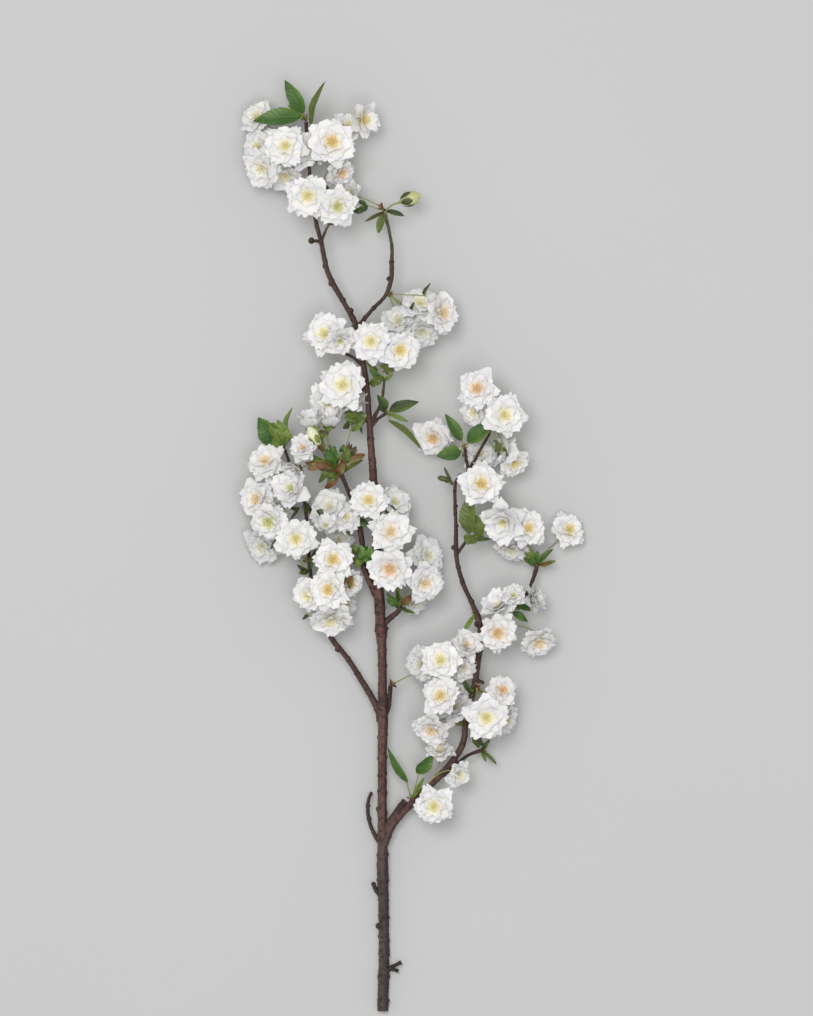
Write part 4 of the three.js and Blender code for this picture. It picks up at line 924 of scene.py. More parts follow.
# [spur, x, y, z, diameter, tilt, turn, tint of the heart, and the habit where it isn't open]
# The order counts, because a flower's random draws start from its number.
FLOWERS = [
    ["top_upper", 286.5, 148, 60, 45, 10, 135, "cream"], ["top_back", 258, 117, 32, 40, 42, 140, "pale"],
    ["top_upper", 263, 168, 46, 46, 36, 225, "pale"], ["top_upper", 332, 144, 62, 50, 10, 20, "deep"],
    ["top_lower", 308.5, 197, 66, 47, 15, 250, "cream"], ["top_lower", 340, 173, 50, 35, 48, 320, "orange"],
    ["top_stalk", 338, 207.5, 64, 42, 18, 300, "green"],
    ["top_upper", 363, 120, 42, 46, 42, 350, "yellow", "narrow"],
    ["upper_right", 352, 196, 42, 36, 60, 170, "pale"], ["top_upper", 306, 151, 44, 42, 20, 60, "pale"],
    ["top_back", 285, 174, 32, 42, 42, 250, "pale"], ["upper_middle", 326, 335, 58, 45, 22, 150, "cream"],
    ["upper_left", 340, 341, 64, 32, 22, 280, "green", "bowl"],
    ["upper_middle", 371.5, 342, 66, 43, 10, 200, "cream"],
    ["upper_twig", 399.5, 350.5, 62, 44, 15, 320, "yellow"],
    ["upper_node", 441, 314, 46, 46, 42, 10, "peach"], ["upper_node", 420, 305, 42, 44, 42, 80, "pale"],
    ["upper_node", 421, 331, 40, 42, 36, 300, "grey"], ["upper_node", 399, 322, 42, 42, 30, 120, "grey"],
    ["middle_stem", 343.6, 386, 60, 48, 12, 150, "cream"],
    ["middle_tip", 352, 404, 46, 36, 65, 95, "pale", "bowl"],
    ["middle_tip", 314, 428, 52, 30, 70, 108, "green", "cup"],
    ["middle_tip", 329, 427, 56, 29, 72, 84, "green", "cup"],
    ["middle_tip", 304, 449, 60, 29, 14, 120, "orange", "bowl"],
    ["middle_tip", 298.5, 470, 54, 25, 40, 210, "green", "cup"],
    ["left_upper", 266.5, 462, 46, 41, 30, 120, "peach"],
    ["left_upper", 292, 489, 58, 40, 25, 150, "green", "bowl"],
    ["left_upper", 258, 498.5, 42, 42, 32, 190, "peach"],
    ["left_upper", 270, 521, 54, 44, 28, 230, "green"],
    ["left_lower", 296.5, 538, 60, 44, 12, 270, "cream"], ["left_lower", 263, 545, 18, 44, 38, 230, "grey"],
    ["middle_upper", 326, 526, 64, 25, 18, 90, "green", "cup"],
    ["middle_upper", 330, 508, 52, 42, 24, 110, "grey"],
    ["centre_upper", 369, 501, 64, 41, 15, 100, "yellow"],
    ["centre_lower", 390.5, 532, 66, 45, 12, 40, "peach"],
    ["centre_right", 394, 503, 44, 42, 32, 50, "grey"],
    ["centre_lower", 390.5, 568, 66, 48, 15, 250, "orange"],
    ["trunk_spur", 424, 583, 54, 42, 30, 340, "peach"], ["centre_back", 426, 556, 38, 42, 34, 20, "grey"],
    ["left_lower", 333, 559.5, 62, 44, 10, 60, "deep"], ["left_fork", 329, 589, 64, 42, 12, 200, "deep"],
    ["left_fork", 309.5, 594.5, 54, 38, 28, 200, "cream"],
    ["left_fork", 349, 583, 46, 34, 40, 330, "orange"], ["left_root", 331, 619, 46, 47, 48, 265, "pale"],
    ["right_top", 477.5, 389.5, 62, 43, 15, 160, "orange"],
    ["right_top", 503.5, 415.5, 62, 45, 15, 350, "cream"],
    ["right_leaf", 433.5, 437, 28, 43, 25, 250, "orange"],
    ["right_top", 501, 449, 42, 38, 118, 350, "olive", "bowl"],
    ["right_top", 513, 462, 38, 36, 40, 310, "yellow"], ["right_leaf", 479, 455, 32, 40, 30, 60, "grey"],
    ["right_upper", 481, 484.5, 62, 45, 12, 60, "deep"],
    ["fork_tip", 503.5, 521, 54, 46, 25, 240, "green", "bowl"],
    ["fork_tip", 527.5, 528.5, 48, 40, 18, 20, "yellow"], ["fork_tip", 513, 548, 30, 36, 45, 260, "grey"],
    ["fork_tip", 569, 530.5, 14, 37, 26, 50, "yellow"],
    ["fork_low", 513, 596, 46, 27, 16, 90, "green", "bowl"],
    ["fork_low", 533, 600, 37, 30, 68, 20, "grey", "bowl"],
    ["right_knee", 498, 607, 44, 35, 45, 120, "pale", "bowl"],
    ["right_knee", 497, 632, 58, 42, 12, 300, "orange"],
    ["right_knee", 538.5, 641, 32, 40, 45, 290, "peach"],
    ["right_inner", 441, 660, 56, 43, 18, 120, "cream"], ["trunk_stub", 423, 664, 40, 40, 42, 190, "grey"],
    ["right_inner", 466, 646, 48, 34, 32, 60, "peach", "bowl"],
    ["right_lower", 441, 695, 58, 42, 18, 160, "yellow"],
    ["right_lower", 432, 728, 46, 41, 42, 240, "peach"],
    ["right_middle", 485.5, 716, 62, 47, 10, 300, "cream"],
    ["right_middle", 501.5, 690.5, 48, 34, 26, 45, "orange"],
    ["right_lower", 505, 720, 34, 34, 50, 340, "grey"], ["right_back", 456, 708, 30, 40, 36, 120, "grey"],
    ["right_base", 434, 805, 50, 43, 15, 260, "cream"], ["right_base", 458, 774, 44, 30, 42, 330, "pale"],
    ["right_base", 440, 752, 36, 32, 60, 90, "pale"], ["top_back", 260, 147, 36, 42, 36, 180, "pale"],
    ["middle_stem", 329, 402, 48, 42, 30, 230, "pale"], ["middle_upper", 345, 517, 52, 36, 22, 40, "pale"],
    ["right_top", 475.5, 412, 46, 36, 35, 200, "pale"], ["right_inner", 462, 667, 42, 34, 34, 330, "grey"],
    ["left_upper", 279.5, 474, 42, 36, 40, 60, "pale"], ["top_upper", 347, 127, 42, 34, 45, 60, "pale"],
    # Small ones low in the clusters, too deep in them for the plain solids
    ["left_lower", 339, 541, 24, 29, 25, 60, "pale"], ["trunk_spur", 415, 603, 24, 27, 40, 330, "grey"],
    ["right_back", 458, 691, 22, 29, 25, 200, "pale"], ["right_back", 451, 709, 20, 26, 35, 150, "pale"],
    ["left_fork", 346, 605, 24, 28, 35, 330, "grey"], ["left_upper", 281, 511, 22, 28, 30, 270, "pale"],
]

# The tint of a flower's heart, and the painted shade that greys its petals. It is strongest for the "grey"
# flowers, which lie in shade and whose heart tint is greyed as painted shade too, and for the "olive" one,
# which faces away.
HEARTS = {
    "cream": ("f3ebb6", 0.0), "pale": ("f4f0d3", 0.03), "yellow": ("f0dc98", 0.03),
    "deep": ("ecd083", 0.0), "orange": ("ebc392", 0.05), "peach": ("f4debc", 0.05),
    "green": ("d6d896", 0.05), "olive": ("8f8f46", 0.2), "grey": ("e0e1d2", 0.25),
}

# Rings of petals: (rise and flare in degrees, half width and reach as shares of the flower's radius, petals)
HABITS = {
    "open": [(30, -2, 0.53, 1.0, 5), (38, 8, 0.40, 0.82, 5), (50, 20, 0.25, 0.54, 5)],
    "bowl": [(52, 26, 0.56, 1.0, 5), (60, 34, 0.40, 0.74, 5), (68, 44, 0.24, 0.48, 4)],
    "narrow": [(30, 6, 0.36, 1.0, 5), (60, 30, 0.30, 0.68, 5)],
    "cup": [(66, 53, 0.60, 1.0, 5), (74, 60, 0.46, 0.70, 4)],
}
STRAGGLERS = (24, -12, 0.42, 1.15, 5)  # looser petals that show between and behind the outer ring
STRAGGLING = ("open", "bowl")
RING_STEP = 1.0 * MM  # the inner petals leave this much above the outer ones, and the stragglers below them
BLUSH = 0.49  # how far the tint of the heart spreads, as a share of the flower's radius
PETAL_ROOT = 0.2  # share of a petal below the plane that the flower is placed by
CLEAR_OF_TABLE = 0.7 * MM  # the least height of a flower's outer ring
FLOWER_SEED = 7919  # times a flower's number, starts its random draws
print("flowers:", len(FLOWERS), "on", len(FLOWER_SPURS), "spurs")

# %% Where each flower stands
def arc(length, rise, flare, share):
    """(reach, height) of a point along a petal that leaves at rise and bends evenly to flare, in degrees."""
    start, bend = math.radians(rise), math.radians(flare - rise)
    angle = start + bend * share
    reach = length * (math.sin(angle) - math.sin(start)) / bend
    return reach, length * (math.cos(start) - math.cos(angle)) / bend


def out_of(stance, turn):
    """The way out from an axis at this turn round it, where stance turns straight up into the axis."""
    return stance @ Vector((math.cos(turn), math.sin(turn), 0))


class Flower:
    """A row of the flower table, worked out in metres."""

    def __init__(self, number, spur, x, y, z, diameter, tilt, turn, tint, habit="open"):
        lean, way = math.radians(tilt), math.radians(turn)
        self.number, self.spur, self.habit = number, spur, habit
        self.axis = Vector((math.sin(lean) * math.cos(way), math.sin(lean) * math.sin(way), math.cos(lean)))
        self.stance = UP.rotation_difference(self.axis)
        self.radius = diameter / 2 * MM
        self.centre = place(x, y, z)
        self.centre.z += max(0.0, self.below_table())
        self.draw = seeded(number * FLOWER_SEED)
        heart, self.shade = HEARTS[tint]
        self.heart = tint_of(heart)

    def outwards(self, turn):
        """The way out from the flower's axis at this turn round it."""
        return out_of(self.stance, turn)

    def below_table(self):
        """How far the outer ring would reach below the table."""
        rise, flare = HABITS[self.habit][0][:2]
        length = self.radius / arc(1, rise, flare, 1)[0]
        top = arc(length, rise, flare, 1)[1] - arc(length, rise, flare, PETAL_ROOT)[1]
        lowest = self.centre.z + top * self.axis.z - self.radius * math.hypot(self.axis.x, self.axis.y)
        return CLEAR_OF_TABLE - lowest


flowers = [Flower(index + 1, *row) for index, row in enumerate(FLOWERS)]
lifted = sum(flower.centre.z > row[3] * MM + 1e-6 for flower, row in zip(flowers, FLOWERS))
print("flowers lifted onto the table:", lifted)

# %% [markdown]
# ### Petals
# Every flower adds its petals to the rows of its spray: ring by ring, evenly round its axis, each ring
# turned by half a step against the last. Small seeded differences in length, bend, lean and width keep them
# from looking stamped. Each spray of petals then replaces the CAD node of its flowers.

# %% Petals, spray by spray
# A spray whose flowers meet those of another is one CAD node with it
FUSED_SPRAYS = {
    "top_stalk": "top_lower", "upper_left": "upper_middle", "upper_twig": "upper_middle",
    "middle_tip": "middle_stem", "left_upper": "middle_stem", "right_knee": "fork_low",
    "right_lower": "right_back",
}
# How petals differ: the least of each measure, and the most that chance adds to it
PETAL_CHANCE = {
    "length": (0.84, 0.20),  # shares of what its ring has
    "half": (0.78, 0.30),
    "rise": (-4, 8),  # degrees
    "flare": (-12, 16),
    "cup": (0.02, 0.26),
    "lean": (-0.07, 0.24),
    "ruffle": (2.8, 3.6),  # millimetres
    "notch": (0.03, 0.15),
}
SPACING_CHANCE = 0.24  # radians that a petal may stray round the axis, in all
RING_SHADE = 0.14  # the most painted shade that chance adds to a petal, in the rings and among the stragglers
STRAGGLER_SHADE = 0.30


def spray_of(spur):
    return FUSED_SPRAYS.get(spur, spur)


def add_petals(rows, flower):
    draw = flower.draw
    spin = math.tau / 5 * draw()
    rings = list(enumerate(HABITS[flower.habit]))
    if flower.habit in STRAGGLING:
        rings.append((-1, STRAGGLERS))
    for ring, (rise, flare, half, reach, petals) in rings:
        length = flower.radius * reach / arc(1, rise, flare, 1)[0]
        sunk = arc(length, rise, flare, PETAL_ROOT)[1]
        root = flower.centre + flower.axis * (ring * RING_STEP - sunk)
        for petal in range(petals):
            turn = spin + math.tau / petals * (petal + ring / 2) + SPACING_CHANCE * (draw() - 0.5)
            own = {key: least + more * draw() for key, (least, more) in PETAL_CHANCE.items()}
            rows.add(
                root, root=root, axis=flower.axis, away=flower.outwards(turn),
                length=length * own["length"], half=flower.radius * half * own["half"],
                rise=math.radians(rise + own["rise"]), flare=math.radians(flare + own["flare"]),
                cup=own["cup"], lean=own["lean"], ruffle=own["ruffle"] * MM, notch=own["notch"],
                seed=flower.number * 5.3 + ring * 1.7 + petal * 0.9,
                heart=flower.heart, blush=BLUSH * flower.radius / length,
                shade=flower.shade + (STRAGGLER_SHADE if ring < 0 else RING_SHADE) * draw())


sprays = sorted({spray_of(spur) for spur in FLOWER_SPURS})
petal_rows = {spray: Rows() for spray in sprays}
for flower in flowers:
    add_petals(petal_rows[spray_of(flower.spur)], flower)
petals = {}
for spray in sprays:
    petals[spray] = grown(f"petals_{spray}", petal_rows[spray], PETAL_TREE, Material=PETAL)
print("petals:", sum(len(rows.places) for rows in petal_rows.values()),
      "faces:", sum(len(piece.data.polygons) for piece in petals.values()))

# %% [markdown]
# ### Stamens
# A brush of thin filaments stands in each heart, evenly spread like the seeds of a sunflower: each one is
# turned by the golden angle from the last and leans further out. One tree makes the brush once and copies
# it to every flower, turned and scaled to it, round the small green-yellow cushion that they grow from.

# %% A tree for brushes of stamens
GOLDEN_ANGLE = math.pi * (3 - math.sqrt(5))


def stamen_tree():
    sizes = {"Stamens": 32, "Filament": 0.0060, "Radius": 0.00026, "Anther": 0.00072, "Splay": 1.22,
             "Cushion": 0.0026, "Seed": 5, "Thread": None, "Pollen": None}
    tree, given, out = new_tree("Stamens", **sizes)
    inputs = {"Vertices": 4, "Side Segments": 3, "Radius Top": given["Radius"] * 0.6,
              "Radius Bottom": given["Radius"], "Depth": given["Filament"]}
    thread = painted(node(tree, "GeometryNodeMeshCone", inputs), given["Thread"])
    grain = node(tree, "GeometryNodeMeshIcoSphere", {"Radius": given["Anther"], "Subdivisions": 1})
    inputs = {"Geometry": grain, "Translation": vector_of(0.0, 0.0, given["Filament"]),
              "Scale": (0.8, 0.62, 1.25)}
    grain = painted(node(tree, "GeometryNodeTransform", inputs), given["Pollen"])
    dome = node(tree, "GeometryNodeMeshIcoSphere", {"Radius": given["Cushion"], "Subdivisions": 2})
    dome = node(tree, "GeometryNodeTransform", {"Geometry": dome, "Scale": (1.0, 1.0, 0.6)})
    index = node(tree, "GeometryNodeInputIndex")
    turn = index * GOLDEN_ANGLE
    lean = ((index + 0.5) / given["Stamens"]) ** 0.5 * given["Splay"]
    out_of_axis = summed("SINE", lean)
    way = vector_of(out_of_axis * summed("COSINE", turn), out_of_axis * summed("SINE", turn),
                    summed("COSINE", lean))
    foot = way * (given["Filament"] * 0.14)
    spots = node(tree, "GeometryNodePoints", {"Count": given["Stamens"], "Position": foot})
    size = node(tree, "FunctionNodeRandomValue", {2: 0.72, 3: 1.15, "Seed": given["Seed"]}, output=1)
    tuft = copied(spots, joined(thread, grain), Rotation=facing(way), Scale=size)
    brush = joined(tuft, painted(dome, given["Thread"]))
    spin = node(tree, "FunctionNodeAxisAngleToRotation", {"Axis": (0, 0, 1), "Angle": named(tree, "spin")})
    inputs = {0: facing(named(tree, "axis", vector=True)), 1: spin}
    turned = node(tree, "FunctionNodeRotateRotation", inputs, rotation_space="LOCAL")
    brushes = copied(given["Rows"], brush, Rotation=turned, Scale=named(tree, "size"))
    feed(out, node(tree, "GeometryNodeSetShadeSmooth", {0: brushes}))
    return tree


STAMEN_SIZES = {"open": 1.0, "bowl": 0.85, "narrow": 0.9, "cup": 0.75}
LEAST_BRUSH = 0.55  # the size of a brush in a flower of no width
BRUSH_SCALE = 40 * MM  # the flower radius that would add a whole size to it
stamen_rows = Rows()
for flower in flowers:
    size = STAMEN_SIZES[flower.habit] * (LEAST_BRUSH + flower.radius / BRUSH_SCALE)
    stamen_rows.add(flower.centre, axis=flower.axis, spin=flower.number * 1.3, size=size, heart=flower.heart)
stamens = grown("stamens", stamen_rows, stamen_tree(), Thread=FILAMENT, Pollen=ANTHER)
print("stamen faces:", len(stamens.data.polygons))

# %% [markdown]
# ### Stalks and calyxes
# A flower hangs on a thin stalk, its pedicel, that curves from the spur to the flower's underside and
# widens into the calyx, a narrow bell. Five sepals spread from the bell's rim under the petals. The stalks
# are rods, as the wood is, and the sepals are small leaves. Where a spur bears flowers, brown bud scales
# stand round their feet.

# %% Stalks, calyxes, sepals and bud scales
CALYX_LENGTH = 5.5 * MM
STALK_TINT = tint_of("929a5e")
CALYX_TINT = tint_of("5f6a34")
SEPAL_TINTS = [tint_of(tint) for tint in ("4f5c2b", "5d5f31", "5f4a30")]
SCALE_TINTS = [tint_of(tint) for tint in ("6b4a2e", "7d5a33", "5d5f2f", "8a5136")]
STALK_WIDTHS = (0.85, 0.7, 0.65, 0.65, 0.7, 0.95)  # half widths from the spur to the calyx, in millimetres
BELL = ((4.2, 1.7), (2.2, 2.0), (0.4, 2.3), (-0.4, 1.6))  # how far below the flower, and half width there
SEPAL_HALF = 2.1 * MM
SEPAL_OUT, SEPAL_BELOW = 1.6, 0.9  # millimetres from the axis and below the flower, where a sepal starts
SCALE_OUT, SCALE_BELOW = 0.4, 0.3  # the same for a bud scale, as shares of its spur's radius
SCALE_LEAN = (25, 55)  # degrees that the first scale of a spur leans out, and that the others add to it
UPRIGHT = 20  # millimetres of stalk that a spur's mean way has straight up, besides its real stalks


def bezier(start, bend, end, share):
    return start.lerp(bend, share).lerp(bend.lerp(end, share), share)


def add_rod(rows, spots, widths, tints):
    """Adds a rod along joined spots, with its half width in millimetres and its tint at each."""
    for step, (spot, width, tint) in enumerate(zip(spots, widths, tints)):
        rows.add(spot, joined=step > 0, thickness=width * MM, tint=tint)


def add_stalk(rows, flower):
    """The pedicel from its spur to the calyx, and the calyx up into the flower."""
    start = place(*FLOWER_SPURS[flower.spur][:3])
    neck = flower.centre - flower.axis * CALYX_LENGTH
    bend = neck - flower.axis * (start - neck).length / 2
    last = len(STALK_WIDTHS) - 1
    stalk = [bezier(start, bend, neck, step / last) for step in range(last + 1)]
    bell = [flower.centre - flower.axis * below * MM for below, width in BELL]
    widths = [*STALK_WIDTHS, *(width for below, width in BELL)]
    add_rod(rows, stalk + bell, widths, [STALK_TINT] * len(stalk) + [CALYX_TINT] * len(bell))


def add_blade(rows, root, forward, across, length, half, tint, **shape):
    """A leaf-like blade; its shape may name arch, droop, fold, twist, wave and teeth."""
    forward = forward.normalized()
    across = (across - forward * across.dot(forward)).normalized()
    plain = {"arch": 0.08, "droop": 0.0, "fold": 0.3, "twist": 0.0, "wave": 0.0, "teeth": 0.0, "seed": 0.0}
    rows.add(root, root=root, forward=forward, across=across, length=length, half=half, tint=tint,
             **{**plain, **shape})


def add_sepals(rows, flower):
    """Five sepals that spread from the calyx's rim under the petals."""
    draw = flower.draw
    spin = math.tau * draw()
    for sepal in range(5):
        away = flower.outwards(spin + math.tau / 5 * sepal)
        forward = away + flower.axis * (0.15 + 0.3 * draw())
        root = flower.centre - flower.axis * SEPAL_BELOW * MM + away * SEPAL_OUT * MM
        tint = SEPAL_TINTS[int(len(SEPAL_TINTS) * draw())]
        length = (0.36 + 0.10 * draw()) * flower.radius
        add_blade(rows, root, forward, away.cross(flower.axis), length, SEPAL_HALF, tint,
                  arch=-0.1, fold=-0.2, droop=0.2 * draw())


def add_scales(rows, spur, stalk_ways, tints=SCALE_TINTS, count=7):
    """Bud scales round a spur, leaning out from the mean way of its stalks."""
    x, y, z, radius = spur
    middle = sum(stalk_ways, UP * UPRIGHT * MM).normalized()
    stance = UP.rotation_difference(middle)
    draw = seeded(int(x * 31 + y))
    for scale in range(count):
        lean = math.radians(SCALE_LEAN[0] + SCALE_LEAN[1] * scale / count)
        away = out_of(stance, scale * GOLDEN_ANGLE)
        forward = middle * math.cos(lean) + away * math.sin(lean)
        root = place(x, y, z) + away * SCALE_OUT * radius * MM - middle * SCALE_BELOW * radius * MM
        tint = tints[int(len(tints) * draw())]
        length = (1.35 + 0.8 * draw()) * radius * MM
        add_blade(rows, root, forward, away.cross(middle), length, (0.42 + 0.2 * draw()) * radius * MM, tint,
                  arch=0.12 + 0.1 * draw(), fold=0.35, droop=-0.25 * draw())


stalk_rows, sepal_rows = Rows(), Rows()
for flower in flowers:
    add_stalk(stalk_rows, flower)
    add_sepals(sepal_rows, flower)
for name, spur in FLOWER_SPURS.items():
    ways = [flower.centre - place(*spur[:3]) for flower in flowers if flower.spur == name]
    add_scales(sepal_rows, spur, ways)
stalk_sizes = {"Sides": 8, "Step": 0.0016, "Relief": 0.06, "Grain": 600.0, "Knuckle": 0.0}
print("stalks:", len(flowers), "sepals and scales:", len(sepal_rows.places))

# %% [markdown]
# ## Leaves and buds
# Young leaves stand in tufts on their own spurs, with bud scales round their feet. The large ones have a
# stalk, a toothed edge and a folded blade; the leaflets round them are small, narrow and curled, and start at
# the spur itself. Each row gives the blade's base and tip, its width, its roll about its rib, its teeth in
# CAD and its tint.

# %% Leaf spurs, leaves and buds
LEAF_SPURS = {
    "top_tip": [305.8, 119, 35.5, 3.0], "upper_right": [385, 211, 34.5, 3.2],
    "upper_twig": [384.2, 381, 46, 2.0], "middle_leaf": [386.5, 413.5, 44.5, 2.6],
    "middle_tip": [342, 474, 47, 3.4], "left_leaf": [284, 447, 30.5, 2.3],
    "left_upper": [305, 507, 29, 2.2], "left_lower": [308, 571, 29, 2.2],
    "middle_upper": [357.5, 519, 45.5, 2.4], "middle_lower": [363, 556, 43.5, 3.0],
    "trunk_spur": [399.5, 608.5, 37, 2.6], "right_leaf": [464.5, 447, 43.5, 2.4],
    "right_upper": [452.3, 484, 42, 2.0], "right_hanging": [467.5, 539.5, 39.5, 2.2],
    "fork_tip": [537, 566, 21, 2.6], "fork_low": [516.5, 604.5, 27.5, 2.4],
    "right_knee": [475.5, 613, 36.5, 2.4], "right_middle": [472.5, 695, 32, 2.4],
    "right_base": [412, 800, 22.5, 3.6], "side_twig": [482, 751, 20.5, 2.8],
}

# For each spur: [base x, y, z, tip x, y, z, width, roll about its rib, teeth in CAD, tint]
# The order counts here too.
LEAVES = {
    "top_tip": [
        [304, 113, 40, 285, 81, 48, 15, 10, 4, "leaf"], [301, 117, 42, 253.5, 121, 47, 18, -15, 5, "leaf"],
        [311, 128, 45, 325, 82, 54, 11, 50, 4, "olive"], [301, 114, 37, 288, 105, 39, 6, 0, 0, "lime"],
    ],
    "left_leaf": [
        [282, 444, 33, 258, 418, 42, 25, 20, 4, "leaf"], [285.5, 441, 33, 292, 407, 42, 10, 55, 3, "lime"],
    ],
    "middle_leaf": [
        [389, 411, 46, 419, 402, 53, 12, 15, 3, "dark"], [387, 410, 47, 377, 395, 54, 10, -20, 2, "dark"],
        [388, 420, 44, 423, 450, 38, 8, 40, 3, "olive"], [390, 416, 45, 408, 422, 47, 5, 20, 0, "lime"],
        [382, 421, 46, 380, 405, 50, 5, 30, 0, "dark"],
    ],
    "right_leaf": [
        [461.5, 441, 46, 445, 414, 53, 12, -10, 3, "leaf"],
        [467, 442, 47, 494.5, 424, 55, 17, 15, 4, "leaf"], [461, 452, 46, 436, 456, 52, 15, -5, 4, "leaf"],
    ],
    "right_hanging": [
        [469, 534, 42, 470, 493, 46, 18, 25, 3, "olive"], [473, 539, 41, 490.5, 539, 44, 5, 0, 0, "dark"],
    ],
    "right_base": [
        [408, 783, 26, 387.4, 747, 34, 9, 25, 3, "leaf"],
        [417, 774, 28, 433.4, 753.7, 37, 14, -15, 3, "leaf"], [416, 787, 27, 424, 778, 34, 5, 0, 0, "lime"],
    ],
    "middle_lower": [
        [360, 554, 44, 351, 545, 49, 9, 15, 0, "olive"], [367, 557, 44, 387, 553, 48, 9, -10, 2, "lime"],
        [363.5, 560, 45, 368, 546, 52, 6, 10, 0, "leaf"],
    ],
    "middle_upper": [
        [353, 517, 46, 347.5, 526, 50, 5, 0, 0, "dark"], [361, 517, 46, 370, 526, 50, 8, 0, 0, "dark"],
    ],
    "left_upper": [[306, 505, 31, 313, 514, 34, 7, 20, 0, "dark"]],
    "left_lower": [[305, 565, 31, 299, 573, 36, 6, 0, 0, "dark"]],
    "middle_tip": [
        [336, 464, 49, 324, 453, 53, 7, 20, 0, "olive"], [342, 463, 50, 348, 447, 55, 6, -20, 0, "rust"],
        [345, 464, 49, 363, 460, 46, 5, 30, 0, "olive"], [345, 466, 47, 352, 444, 44, 5, 0, 0, "dark"],
        [334, 469, 49, 321, 445, 50, 7, 15, 0, "rust"],
    ],
    "upper_right": [
        [381, 216, 39, 365, 222, 43, 4, 0, 0, "brown"], [382, 218, 40, 378, 233, 38, 8, -20, 0, "olive"],
        [388, 216, 38, 404, 216, 40, 6, 20, 0, "dark"],
    ],
    "side_twig": [
        [483, 749, 23, 489, 740, 28, 5, 0, 0, "dark"], [483, 753, 23, 486, 762, 26, 4, 0, 0, "olive"],
        [485, 753, 22, 497, 765, 22, 4, 20, 0, "olive"],
    ],
    "fork_tip": [
        [534, 560, 24, 523, 547, 27, 9, -10, 2, "lime"], [540, 560, 23, 553, 549, 26, 5, 20, 0, "leaf"],
        [541, 563, 22, 556, 561, 22, 5, 0, 0, "lime"],
    ],
    "fork_low": [
        [514, 609, 31, 531, 611, 29, 7, 15, 0, "leaf"], [513, 612, 30, 528, 622, 30, 8, 10, 2, "leaf"],
    ],
    "right_knee": [[474, 640, 37, 462, 634, 42, 5, 0, 0, "lime"]],
    "right_middle": [[471, 684, 34, 462, 678, 38, 6, 0, 0, "dark"]],
    "trunk_spur": [
        [397, 602, 39, 387, 593, 43, 6, 0, 0, "leaf"], [399, 601, 40, 398, 586, 45, 5, 20, 0, "lime"],
        [402, 607, 38, 415, 613, 41, 4, 0, 0, "olive"],
    ],
    "upper_twig": [
        [383, 378, 48, 370, 370, 52, 7, 10, 0, "leaf"], [386, 377, 48, 393, 374, 52, 5, 0, 0, "lime"],
    ],
    "right_upper": [[455, 479, 43, 444, 467, 45, 3.4, 0, 0, "brown"]],
}

# "dark" is the green that the leaves show where they lie in shade: their own green with painted shade.
LEAF_TINTS = {
    "leaf": "3a6222", "dark": "2f421d", "olive": "5f6c30", "lime": "748a3c",
    "brown": "54402a", "rust": "7a4a2f", "fresh": "6a9448", "tan": "8a6a45",
}
TEETH_EACH = 4.0  # fine teeth for each coarse one in CAD
LEAF_SCALE_TINTS = [tint_of(tint) for tint in ("5d6a2d", "76512f", "4d5a28", "8f5236")]
LEAF_SEED = 4241  # times a leaf's number, starts its random draws
LEAFLET_CURL = 1.6  # how much more a leaflet curls than a large leaf
LEAF_STALK = 0.16  # share of a leaf that its stalk reaches along the rib


def add_leaf(rows, stalks, root, number, row):
    """A leaf with its stalk, or a leaflet that starts at its spur."""
    width, roll, teeth, tint = row[6:]
    draw = seeded(number * LEAF_SEED)
    base = place(*row[:3]) if teeth else root
    rib = place(*row[3:6]) - base
    forward = rib.normalized()
    across = forward.cross(UP).normalized()
    turn = math.radians(roll)
    across = across * math.cos(turn) + across.cross(forward) * math.sin(turn)
    curl = 1.0 if teeth else LEAFLET_CURL
    add_blade(rows, base, forward, across, rib.length, width / 2 * MM, tint_of(LEAF_TINTS[tint]), arch=0.08,
              fold=0.3, wave=0.10 * curl, twist=0.5 * curl * (draw() - 0.5), droop=0.05 * draw(),
              teeth=teeth * TEETH_EACH, seed=6.0 * draw())
    if teeth:
        end = base + rib * LEAF_STALK
        add_rod(stalks, (root, root.lerp(end, 0.5), end), (0.85, 0.7, 0.55), [STALK_TINT] * 3)


leaf_list = [(spur, row) for spur, rows in LEAVES.items() for row in rows]
leaves = {}
for spur, knot in LEAF_SPURS.items():
    rows = Rows()
    for number, (own_spur, row) in enumerate(leaf_list):
        if own_spur == spur:
            add_leaf(rows, stalk_rows, place(*knot[:3]), number, row)
    leaves[spur] = grown(f"tuft_{spur}", rows, LEAF_TREE, Top=LEAF_TOP, Back=LEAF_BACK)
    add_scales(sepal_rows, knot, rows.values["forward"], LEAF_SCALE_TINTS, 5)
print("leaves and leaflets:", len(leaf_list), "in", len(leaves), "tufts")

# %% [markdown]
# ### Bracts
# Between the blossoms peep the smallest leaflets: bracts on the flower stalks and the first folded leaves of
# each tuft. Each row gives a bract's base and tip, its width and its tint. One that stands away from its spur
# has a thin stalk.

# %% Small leaflets between the blossoms
TRUNK_TUFT = [368, 415, 43.5, 2.4]  # a small leafy spur on the stem itself

